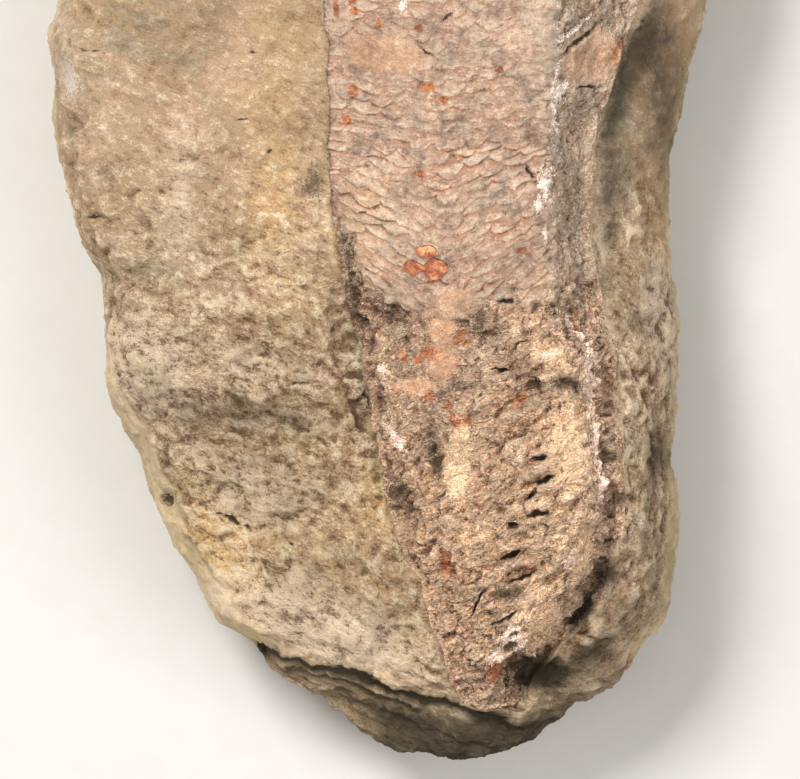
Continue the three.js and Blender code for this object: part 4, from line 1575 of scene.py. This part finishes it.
@dataclass
class StoneNodule:
    """The stone, with the pocket that the fish lies in.

    Attributes:
        shape: the form it shares with the fish.
        seam_lap: how far the stone laps over the fish's edges, which closes the seam.
        seat_gap: clearance between the pocket's floor and the fish.
        columns: points of a loop on the left rim, left face, pocket, right face, right rim
            and underside.
        coarse_y: y past which the ribs are wider apart.
        rib_counts: how many ribs there are on the tail's rounding, up to coarse_y, from it,
            and on the head's rounding.
    """

    shape: SpecimenShape
    seam_lap: float = 0.04
    seat_gap: float = 0.05
    columns: tuple[int, int, int, int, int, int] = (34, 96, 6, 14, 24, 34)
    coarse_y: float = 20.0
    rib_counts: tuple[int, int, int, int] = (105, 264, 66, 42)

    def stations(self) -> Array:
        """y of each rib: finely and evenly along the tail half, wider along the head half.

        Returns:
            The places, from tail to head.
        """
        s = self.shape
        n_tail, n_body, n_rest, n_head = self.rib_counts
        turn = np.linspace(0.0, np.pi / 2.0, n_tail)[1:]
        tail = -s.half_length + s.tail_round * (1.0 - np.cos(turn))
        body = np.linspace(tail[-1], self.coarse_y, n_body)[1:]
        turn = np.linspace(np.pi / 2.0, 0.0, n_head)[:-1]
        head = s.half_length - s.head_round * (1.0 - np.cos(turn))
        rest = np.linspace(self.coarse_y, head[0], n_rest)[1:-1]
        ends = np.array([s.tail_y - 0.1, s.tail_y, s.head_y, s.head_y + 0.1])
        found = np.concatenate([tail, body, rest, head])
        clear = np.abs(found[:, None] - ends).min(axis=1) > 0.12
        return np.sort(np.concatenate([found[clear], ends]))

    def build(self) -> bpy.types.Object:
        """Make the stone's mesh and finish.

        Returns:
            The piece's object.
        """
        s = self.shape
        ys = self.stations()[:, None]
        left, right = s.left_outline(ys), s.right_outline(ys)
        held = np.clip(ys, s.tail_y, s.head_y)
        held_left, held_right = s.left_outline(held), s.right_outline(held)
        has_pocket = (ys >= s.tail_y) & (ys <= s.head_y)

        def share(x: Array) -> Array:
            """Where x of the fish's nearest rib falls in this rib's width."""
            return mix(left, right, (x - held_left) / (held_right - held_left))

        seam_left = share(s.fish_left(held) + self.seam_lap)
        seam_right = share(s.fish_right(held) - self.seam_lap)
        n_rim, n_face, n_pocket, n_right, n_far, n_under = self.columns
        rim_width = np.minimum(s.left_round, 0.45 * (seam_left - left))
        far_width = np.minimum(s.right_round, 0.7 * (right - seam_right))
        bend = 1.0 - np.cos(np.linspace(0.0, np.pi / 2.0, n_rim, endpoint=False))
        far_bend = 1.0 - np.cos(np.linspace(np.pi / 2.0, 0.0, n_far))
        face_share = np.linspace(0.0, 1.0, n_face)
        right_share = np.linspace(0.0, 1.0, n_right, endpoint=False)
        dip = np.linspace(0.0, 1.0, n_pocket + 2)[1:-1]
        pocket_x = mix(seam_left, seam_right, half_turn(dip))
        top_x = np.concatenate([
            left + rim_width * bend,
            mix(left + rim_width, seam_left, face_share),
            pocket_x,
            mix(seam_right, right - far_width, right_share),
            right - far_width * far_bend,
        ], axis=1)
        under_x = mix(right, left, half_turn(np.linspace(0.0, 1.0, n_under + 2)[1:-1]))
        top_y, under_y = ys + 0.0 * top_x, ys + 0.0 * under_x
        top = np.stack([top_x, top_y, s.top(top_x, top_y)], axis=-1)
        under = np.stack([under_x, under_y, s.underside(under_x, under_y)], axis=-1)
        base = np.concatenate([top, under], axis=1)
        down = -s.normals(s.underside, under_x, under_y)
        way = np.concatenate([s.normals(s.top, top_x, top_y), down], axis=1)
        height, values = self.relief(base)
        is_under = np.zeros(base.shape[:2])
        is_under[:, top_x.shape[1]:] = 1.0
        height *= 1.0 - is_under * (1.0 - smooth(base[..., 2] / 5.0))
        ribs = base + way * height[..., None]
        ribs[..., 2] -= values.pop("drop") * smooth((base[..., 2] - 23.0) / 9.0)
        ribs[..., 1] += s.drift(base[..., 0], base[..., 1])
        ribs[..., 2] = np.maximum(ribs[..., 2], 0.0)
        first = n_rim + n_face
        last = first + n_pocket
        bowl = s.bowl(ribs[:, first - 1 : first], ribs[:, last : last + 1], ys, dip, self.seat_gap)
        ribs[:, first:last] = np.where(has_pocket[..., None], bowl, ribs[:, first:last])
        values["cavity"] = cavity_of(height, True)
        ends = (ribs[0].mean(axis=0), ribs[-1].mean(axis=0))
        piece = Loft("stone_nodule_finish", ribs, ends, values).build(LimestoneFinish().material())
        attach(piece, "root")
        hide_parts("stone_nodule")
        return piece

    def skin(self, points: Array, stray: Array, ledge: Array) -> Array:
        """Where the outside is weathered smooth: the sides, the tail-side rim and below ledges.

        Args:
            points: the piece's points, with x, y and z in the last axis.
            stray: noise that makes the skin's edge ragged.
            ledge: how far below a ledge each point lies, 0 to 1.

        Returns:
            The amount of skin at each point, 0 to 1.
        """
        x, y, z = points[..., 0], points[..., 1], points[..., 2]
        level = CurveThrough(((-120, 41), (-100, 42), (-80, 42), (-62, 40.5), (-48, 31), (137, 30)))(y)
        right_tail = smooth((x - 20.0) / 15.0) * smooth((-40.0 - y) / 15.0) * smooth((y + 125.0) / 8.0)
        level = level - 8.0 * right_tail
        on_side = smooth((level - z + 2.5 * stray) / 2.5)
        return np.maximum(on_side, ledge * smooth((20.0 - x) / 10.0))

    def relief(self, points: Array) -> tuple[Array, dict[str, Array]]:
        """How far the surface stands off the plain form, and what its finish reads.

        Broken stone is facets of two sizes with creases between, grit and rare pits. Weathered
        skin keeps only the broad waves. Both fade into the seam's shared relief.

        Args:
            points: the piece's points, with x, y and z in the last axis.

        Returns:
            The height at each point, and the finish's numbers by name.
        """
        s = self.shape
        x, y, z = points[..., 0], points[..., 1], points[..., 2]
        heading = np.radians(CurveThrough(((-120, -34), (-60, -16), (20, -4)))(y))
        along = (x + 30) * np.cos(heading) + (y + 50) * np.sin(heading)
        across = (y + 50) * np.cos(heading) - (x + 30) * np.sin(heading)
        grain = np.stack([along, across, z], axis=-1)
        stray = fractal(points / 6.0, 3, 11)
        below, lip_shadows, foot_shadows = zip(*(ledge.parts(x, y, stray) for ledge in LEDGES))
        skin = self.skin(points, stray, below[0])
        dirt = s.seam_dirt(x, y)
        rough = (1.0 - skin) * BROKEN_ROUGHNESS(y) * (1.0 + 0.9 * dirt)
        rough *= 1.0 - 0.5 * smooth((x - 50.0) / 8.0) * smooth((y + 50.0) / 12.0)
        coarse = np.maximum(smooth((x - 20.0) / 15.0), 1.6 * smooth((-112.0 - y) / 8.0))
        rough = rough + skin * mix(0.15, 0.5, coarse)
        warp = np.stack([stray, fractal(points / 5.0, 2, 19), stray], axis=-1)
        warped = grain + 1.2 * warp
        lumps = Cells.at(warped / (7.0, 3.2, 4.0), 21)
        chips = Cells.at(warped / (2.7, 1.2, 1.6), 22)
        medium = fractal(warped / (6.0, 2.4, 3.0), 4, 23, 0.6)
        fine = fractal(warped / (2.0, 0.9, 1.2), 2, 24)
        pits = Cells.at(points / 5.0, 25)
        pit = smooth((0.14 - pits.nearest) / 0.08) * (pits.tone > 0.75) * (1.0 - skin)
        broad = fractal((grain + 3.0 * warp) / (15.0, 6.0, 9.0), 3, 30)
        height = 0.6 * fractal(points / 16.0, 3, 26) + (0.35 + 0.5 * rough) * broad
        height += rough * (0.2 * (lumps.tone - 0.5) + 0.3 * lumps.lean)
        height += rough * (0.12 * (chips.tone - 0.5) + 0.16 * chips.lean)
        height += rough * (0.34 * medium + 0.14 * np.abs(medium) + 0.16 * fine) - 0.5 * pit
        height += skin * (0.2 * medium + 0.04 * fine)
        wx, wy = wobbled(points)
        height += raised(STONE_SPOTS, wx, wy)
        to_seam = s.seam_distance(x, y)
        height = height * smooth(to_seam) + s.seam_relief(points)
        upper = smooth((z - 13.0) / 8.0)
        values = {name: grid * upper for name, grid in washes(wx, wy).items()}
        values["skin"] = skin * (1.0 - 0.7 * smooth((-114.0 - y) / 6.0))
        values["rough"] = rough
        values["drop"] = sum(ledge.drop * part for ledge, part in zip(LEDGES, below))
        for mark in STONE_SPOTS:
            values[mark.value] = covered(STONE_SPOTS, mark, wx, wy) * upper
        # Painted shadow on the ledges' steps, laid through the slot and grime marks.
        steps = sum(lip_shadows)
        values["slot"] = np.maximum.reduce([values["slot"], 0.6 * pit, 0.66 * steps * upper])
        tail_seam = 0.42 * bell(to_seam / 0.5) * smooth((-104.0 - y) / 8.0)
        values["grime"] = np.maximum.reduce([values["grime"], dirt, 0.9 * steps, tail_seam]) * upper
        # Painted shade on the stone beside the fish's right edge, and painted shadow under the ledges.
        beside = smooth((y + 52.0) / 10.0) * smooth((60.0 - y) / 30.0)
        beside *= 0.55 * bell((x - s.fish_right(y)) / 3.0)
        dark = np.maximum.reduce([beside, *foot_shadows])
        values["shade"] = np.maximum(values["shade"], dark * upper)
        values["upright"] = smooth((x - 36.0) / 6.0)
        return height, values


def wobbled(points: Array) -> tuple[Array, Array]:
    """x and y moved by up to about half a millimetre of noise, which frays what is drawn there."""
    shift = [0.5 * fractal(points / 1.8, 2, seed) for seed in (27, 29)]
    return points[..., 0] + shift[0], points[..., 1] + shift[1]


def cavity_of(height: Array, wraps: bool) -> Array:
    """How far each point stands out of its surroundings: 0.5 level, less in a hollow."""
    total = 0.6 * (height - blurred(height, 2, wraps)) + 0.3 * (height - blurred(height, 5, wraps))
    return np.clip(0.5 + total, 0.0, 1.0)


# ---- The fish ----

# By x: y at which the scales end and the bone is bared.
SCALES_END = CurveThrough(
    ((-13, -32), (-10, -37), (-5, -44), (0, -47), (5, -49.5), (10, -50.5), (15, -50), (19, -48.5),
     (22, -47), (25, -46), (38, -43), (50, -41))
)
# By y: how clear the scales are, how chalky the crest is, and x of the backbone's middle.
SCALE_STRENGTH = CurveThrough(
    ((-72, 0.3), (-56, 0.45), (-50, 1.0), (-20, 1.0), (-8, 0.75), (2, 0.35), (20, 0.5), (120, 0.7))
)
CREST_CHALK = CurveThrough(
    ((-108, 0.1), (-92, 0.45), (-70, 0.9), (-55, 0.8), (-45, 0.35), (-10, 0.5), (12, 0.3), (30, 0.1))
)
BACKBONE = CurveThrough(((-118, 22.5), (-104, 23.5), (-92, 24.5), (-84, 28.5), (-74, 29.5)))
# Where the bone below the scales is smooth.
CALM_BONE = Patch(8.0, -60.0, 8.0, 12.0, 1.0)


@dataclass(frozen=True)
class BrokenBone:
    """Bared bone, broken into flakes along its grain, and the splintered flank.

    Attributes:
        shards: relief of the flakes.
        side: relief of the flank.
        medium: the rough noise that both hold.
        gap: how far a point is from a crack.
        tone: a number from 0 to 1, the same all over a flake.
    """

    shards: Array
    side: Array
    medium: Array
    gap: Array
    tone: Array

    @classmethod
    def at(cls, points: Array, stray: Array, shift: Array, flank: Array) -> BrokenBone:
        """Break the bone into lumps of two sizes, and the flank into lumps that lean more.

        Args:
            points: the places, in millimetres.
            stray: noise that bends the lumps.
            shift: finer noise that bends them across.
            flank: 1 right of the crest, 0 left of it.

        Returns:
            The broken bone at each place.
        """
        grains = []
        for heading in (28.0, 62.0):
            along, across = turned(points[..., 0], points[..., 1], heading)
            grains.append(np.stack([along * 0.5, across, points[..., 2]], axis=-1))
        warped = grains[0] + 0.9 * np.stack([stray, shift, stray], axis=-1)
        plates = Cells.at(warped / 3.4, 35)
        splinters = Cells.at(warped / 1.3, 36)
        ribs = Cells.at(grains[1] / 2.6 + 0.4 * stray[..., None], 39)
        medium = fractal(warped / 2.4, 4, 37, 0.6)
        shards = 0.7 * (plates.tone - 0.5) + plates.lean + 0.45 * (splinters.tone - 0.5)
        shards += 0.6 * splinters.lean + 0.6 * medium + 0.35 * np.abs(medium)
        side = 0.7 * (ribs.tone - 0.5) + ribs.lean + 0.4 * medium
        tone = mix(0.6 * plates.tone + 0.4 * splinters.tone, ribs.tone, flank)
        return cls(shards, side, medium, mix(plates.gap, ribs.gap, flank), tone)


@dataclass(frozen=True)
class FishBody:
    """The fossil fish, from its tail to its snout.

    Attributes:
        shape: the form it shares with the nodule.
        scales: the rows of scales.
        columns: points of a loop left of the crest, right of it, and along the bowl.
        coarse_y: y past which the ribs are wider apart.
        rib_counts: how many ribs there are up to it and from it.
        gill: the middle of the gill cover.
        gill_reach: the cover's radius, where its edge is.
        growth: distance between the cover's ridges.
        eye: the middle of the eye.
        eye_reach: the eye's radius.
        bone_pitch: distance between the backbone's ridges.
        bone_height: height of those ridges.
    """

    shape: SpecimenShape
    scales: ScaleRows = field(default_factory=ScaleRows)
    columns: tuple[int, int, int] = (130, 52, 12)
    coarse_y: float = 16.0
    rib_counts: tuple[int, int] = (396, 114)
    gill: Point = (13.0, 92.0)
    gill_reach: float = 19.0
    growth: float = 2.6
    eye: Point = (9.0, 106.0)
    eye_reach: float = 4.4
    bone_pitch: float = 3.8
    bone_height: float = 0.55

    def stations(self) -> Array:
        """y of each rib: finely along the tail half, wider along the head half.

        Returns:
            The places, from tail to head.
        """
        fine = np.linspace(self.shape.tail_y, self.coarse_y, self.rib_counts[0])
        coarse = np.linspace(self.coarse_y, self.shape.head_y, self.rib_counts[1])
        return np.concatenate([fine, coarse[1:]])

    def build(self) -> bpy.types.Object:
        """Make the fish's mesh and finish.

        Returns:
            The piece's object.
        """
        s = self.shape
        ys = self.stations()[:, None]
        left, crest, right = s.fish_left(ys), s.crest(ys), s.fish_right(ys)
        n_left, n_right, n_bowl = self.columns
        top_x = np.concatenate([
            mix(left, crest, np.linspace(0.0, 1.0, n_left, endpoint=False)),
            mix(crest, right, np.linspace(0.0, 1.0, n_right)),
        ], axis=1)
        top_y = ys + 0.0 * top_x
        base = np.stack([top_x, top_y, s.worn_top(top_x, top_y)], axis=-1)
        height, values = self.relief(base)
        top = base + s.normals(s.worn_top, top_x, top_y) * height[..., None]
        top[..., 1] += s.drift(top_x, top_y)
        bowl = s.bowl(top[:, -1:], top[:, :1], ys, np.linspace(0.0, 1.0, n_bowl + 2)[1:-1])
        ribs = np.concatenate([top, bowl], axis=1)
        values["cavity"] = cavity_of(height, False)
        plain = np.zeros(bowl.shape[:2])
        values = {name: np.concatenate([grid, plain], axis=1) for name, grid in values.items()}
        ends = (ribs[0].mean(axis=0), ribs[-1].mean(axis=0))
        finish = FossilFinish(self.scales).material()
        piece = Loft("fossil_fish_finish", ribs, ends, values).build(finish)
        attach(piece, "root")
        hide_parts("fossil_fish_body")
        return piece

    def head_relief(self, x: Array, y: Array) -> tuple[Array, Array]:
        """The head's bones, and how much of each point is head.

        The gill cover ends at an arc, with ridges of growth inside it, and the eye is a ringed
        hollow.

        Args:
            x: places across the part.
            y: places along the part, one for each x.

        Returns:
            The relief and the amount of head at each place.
        """
        around = np.hypot(x - self.gill[0], y - self.gill[1])
        inside = self.gill_reach - around
        head = smooth((y - self.gill[1]) / 4.0 + smooth(inside / 1.2) * 2.0)
        ridges = 0.25 * np.sin(2.0 * np.pi * around / self.growth) * smooth(inside / 3.0)
        groove = -1.2 * bell(inside / 0.9) * (y < self.gill[1] + 4.0)
        eye = np.hypot(x - self.eye[0], y - self.eye[1])
        ring = 0.6 * bell((eye - self.eye_reach - 0.6) / 0.8)
        socket = -1.7 * smooth((self.eye_reach - eye) / 1.6) + ring
        jaw = -1.1 * bell((x - 20.0 + 0.5 * (y - 108.0)) / 0.7) * smooth((y - 100.0) / 5.0)
        return head * ridges + groove + socket + jaw, head

    def backbone(self, x: Array, y: Array) -> Array:
        """The ridges of the bared backbone, which lean with the slots between them.

        Args:
            x: places across the part.
            y: places along the part, one for each x.

        Returns:
            The ridges' relief at each place.
        """
        middle = BACKBONE(y)
        along = y - 0.2 * (x - middle)
        near = bell((x - middle) / 3.2) * smooth((along + 118.0) / 4.0) * smooth((-73.0 - along) / 4.0)
        return near * self.bone_height * np.cos(2.0 * np.pi * (along + 80.0) / self.bone_pitch)

    def relief(self, points: Array) -> tuple[Array, dict[str, Array]]:
        """How far the surface stands off the plain form, and what its finish reads.

        Args:
            points: the piece's points, with x, y and z in the last axis.

        Returns:
            The height at each point, and the finish's numbers by name.
        """
        s = self.shape
        x, y = points[..., 0], points[..., 1]
        stray = fractal(points / 4.0, 3, 31)
        wx, wy = wobbled(points)
        flank = smooth((x - s.crest(y)) / 2.0 + 0.5)
        values = self.colours(x, y, wx, wy, flank)
        bones, head = self.head_relief(x, y)
        above_end = y - SCALES_END(x)
        scaled = smooth((above_end + 3.0 * stray) / 3.0 + 0.5) * (1.0 - head)
        torn = smooth((x - s.fish_left(y) - 2.2 + 2.2 * stray) / 2.4)
        scaled *= mix(1.0, torn, smooth((-29.0 - y) / 6.0))
        calm = CALM_BONE.lift(x, y)
        on_plate = smooth((covered(FISH_SPOTS, Mark.PLATE, wx, wy) - 0.35) / 0.2)
        fleshy = smooth((above_end + 4.0 * stray) / 10.0 + 0.5) * (1.0 - 0.5 * head)
        worn = smooth(0.6 + 0.8 * fractal(points / 8.0, 2, 33)) * SCALE_STRENGTH(y)
        worn *= 1.0 - 0.45 * flank
        rows, pitches = self.scales.place(x, y, points)
        above, below, tone = self.scales.at(rows, pitches)
        step = np.minimum(above / 0.16, 1.0) * (1.0 - above / (above + below)) ** 1.2
        wrinkle = fractal(np.stack([pitches * 2.4, rows * 3.6, 0.0 * rows], axis=-1), 3, 34)
        leaf = self.scales.thickness * step * (0.35 + 0.65 * worn) + 0.3 * (tone - 0.5) * worn
        covers = scaled * (1.0 - on_plate) * smooth((0.5 - values["bead"]) / 0.1)
        leaf = covers * (leaf + 0.26 * wrinkle)
        bone = BrokenBone.at(points, stray, wx - x, flank)
        sunk = (1.0 - scaled) * (1.0 - head)
        broken = sunk * (1.0 - 0.7 * on_plate) * (1.0 - 0.6 * calm)
        side = flank * (1.0 - head) * bone.side
        side *= (1.0 - 0.8 * on_plate) * (1.0 - 0.15 * smooth((y + 48.0) / 10.0))
        height = leaf * (1.0 - 0.7 * flank) + broken * bone.shards + side - sunk * (1.0 - 0.8 * calm)
        height += 0.4 * fractal(points / 10.0, 3, 38) + 0.18 * bone.medium
        height += bones + raised(FISH_SPOTS, wx, wy) + self.backbone(x, y)
        height = height * smooth(s.seam_distance(x, y) / 0.8) + s.seam_relief(points)
        values.update(rows=rows, pitches=pitches, worn=worn, gap=bone.gap, tone=bone.tone)
        values["scaled"] = scaled * (1.0 - 0.75 * flank)
        values["fleshy"] = np.maximum(fleshy, 0.8 * calm)
        return height, values

    def colours(self, x: Array, y: Array, wx: Array, wy: Array, flank: Array) -> dict[str, Array]:
        """The strengths of washes and spots, with what the seams, the crest and the flank add.

        Args:
            x: across.
            y: along.
            wx: x frayed by noise.
            wy: y frayed by noise.
            flank: 1 right of the crest, 0 left of it.

        Returns:
            The strengths by name. The lip is the painted shadow line under each bead.
        """
        s = self.shape
        values = washes(wx, wy)
        for mark in Mark:
            values[mark.value] = covered(FISH_SPOTS, mark, wx, wy)
        bead_x, bead_y = mix(x, wx, 0.7), mix(y, wy, 0.7)
        # The lip is the bead moved 0.4 mm towards the tail, where its painted shadow lies.
        for name, shift in (("bead", 0.0), ("lip", 0.4)):
            values[name] = covered(FISH_SPOTS, Mark.BEAD, bead_x, bead_y + shift)
        by_scales = smooth((y + 50.0) / 10.0)
        # Painted light on the flank right of the crest: more pale wash, and less painted shade and grey
        # there.
        beside = flank * by_scales
        # A dark line along the fish's left seam, laid with the painted shade.
        seam_line = 0.55 * bell((x - s.fish_left(y)) / 0.5) * by_scales
        values["shade"] = np.maximum(values["shade"] * (1.0 - 0.8 * beside), seam_line)
        values["grey"] *= 1.0 - 0.6 * beside
        added = {
            "pale": 0.75 * beside,
            "plate": 0.38 * beside,
            "chalk": bell((wx - s.crest(y)) / 0.6) * CREST_CHALK(y),
            "grime": s.seam_dirt(x, y),
        }
        for name, amount in added.items():
            values[name] = np.maximum(values[name], amount)
        return values


# ---- The studio ----


# Each light: name, place in metres, side in metres and power in watts.
LIGHTS = (
    ("key_light", (-0.6, 0.65, 1.35), 0.5, 27.5),
    ("top_fill", (0.1, -0.1, 1.9), 1.6, 10.0),
    ("side_fill", (0.9, -0.3, 1.2), 0.9, 12.5),
    ("rim_fill", (-1.3, -0.3, 0.7), 0.8, 6.0),
)


@dataclass(frozen=True)
class Studio:
    """Floor, lights and camera.

    Attributes:
        look_at: the middle of the camera's view.
        distance: the camera's height over what it sees.
        width: how wide the view is at the specimen's widest level.
        sensor: width of the camera's sensor.
        floor_half: half the floor's side, in metres.
        sky_colour: colour of the even light all round.
        sky_strength: its strength.
    """

    look_at: tuple[float, float, float] = (1.2, -64.3, 22.0)
    distance: float = 2000.0
    width: float = 160.0
    sensor: float = 36.0
    floor_half: float = 3.0
    sky_colour: str = "f6f2ea"
    sky_strength: float = 0.13

    def build(self) -> None:
        """Make the floor, the lights and the camera."""
        self.floor()
        for light in LIGHTS:
            self.lamp(*light)
        self.sky()
        self.camera()

    def floor(self) -> None:
        """Lay the plain pale floor under the specimen."""
        half = self.floor_half
        mesh = bpy.data.meshes.new("floor")
        corners = [(-half, -half, 0), (half, -half, 0), (half, half, 0), (-half, half, 0)]
        mesh.from_pydata(corners, [], [(0, 1, 2, 3)])
        mesh.materials.append(FloorFinish().material())
        ground = bpy.data.objects.new("floor", mesh)
        bpy.context.scene.collection.objects.link(ground)

    def lamp(self, name: str, place: tuple[float, float, float], size: float, power: float) -> None:
        """Hang a square soft light that faces the middle of the view.

        Args:
            name: the light's name.
            place: where it hangs, in metres.
            size: its side, in metres.
            power: its power, in watts.
        """
        light = bpy.data.lights.new(name, "AREA")
        light.shape = "SQUARE"
        light.size = size
        light.energy = power
        hung = bpy.data.objects.new(name, light)
        hung.location = place
        away = np.array(place) - np.array(self.look_at) * MM
        flat = np.hypot(away[0], away[1])
        hung.rotation_euler = (np.arctan2(flat, away[2]), 0.0, np.arctan2(away[0], -away[1]))
        bpy.context.scene.collection.objects.link(hung)

    def sky(self) -> None:
        """Surround the studio with weak even light."""
        world = bpy.data.worlds.new("studio")
        world.use_nodes = True
        background = world.node_tree.nodes["Background"]
        background.inputs["Color"].default_value = srgb(self.sky_colour)
        background.inputs["Strength"].default_value = self.sky_strength
        bpy.context.scene.world = world

    def camera(self) -> None:
        """Look straight down, with the fish's tail at the bottom of the picture."""
        lens = bpy.data.cameras.new("camera")
        lens.sensor_width = self.sensor
        lens.lens = self.sensor * self.distance / self.width
        lens.clip_end = 10.0
        eye = bpy.data.objects.new("camera", lens)
        x, y, z = self.look_at
        eye.location = (x * MM, y * MM, (z + self.distance) * MM)
        bpy.context.scene.collection.objects.link(eye)
        bpy.context.scene.camera = eye
        bpy.context.scene.view_settings.view_transform = "Standard"


def main() -> None:
    """Load the frame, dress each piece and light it."""
    logging.basicConfig(level=logging.INFO, format="%(name)s: %(message)s")
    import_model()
    shape = SpecimenShape()
    for piece in (StoneNodule(shape).build(), FishBody(shape).build()):
        LOG.info("%s: %d faces", piece.name, len(piece.data.polygons))
    Studio().build()


if __name__ == "__main__":
    main()
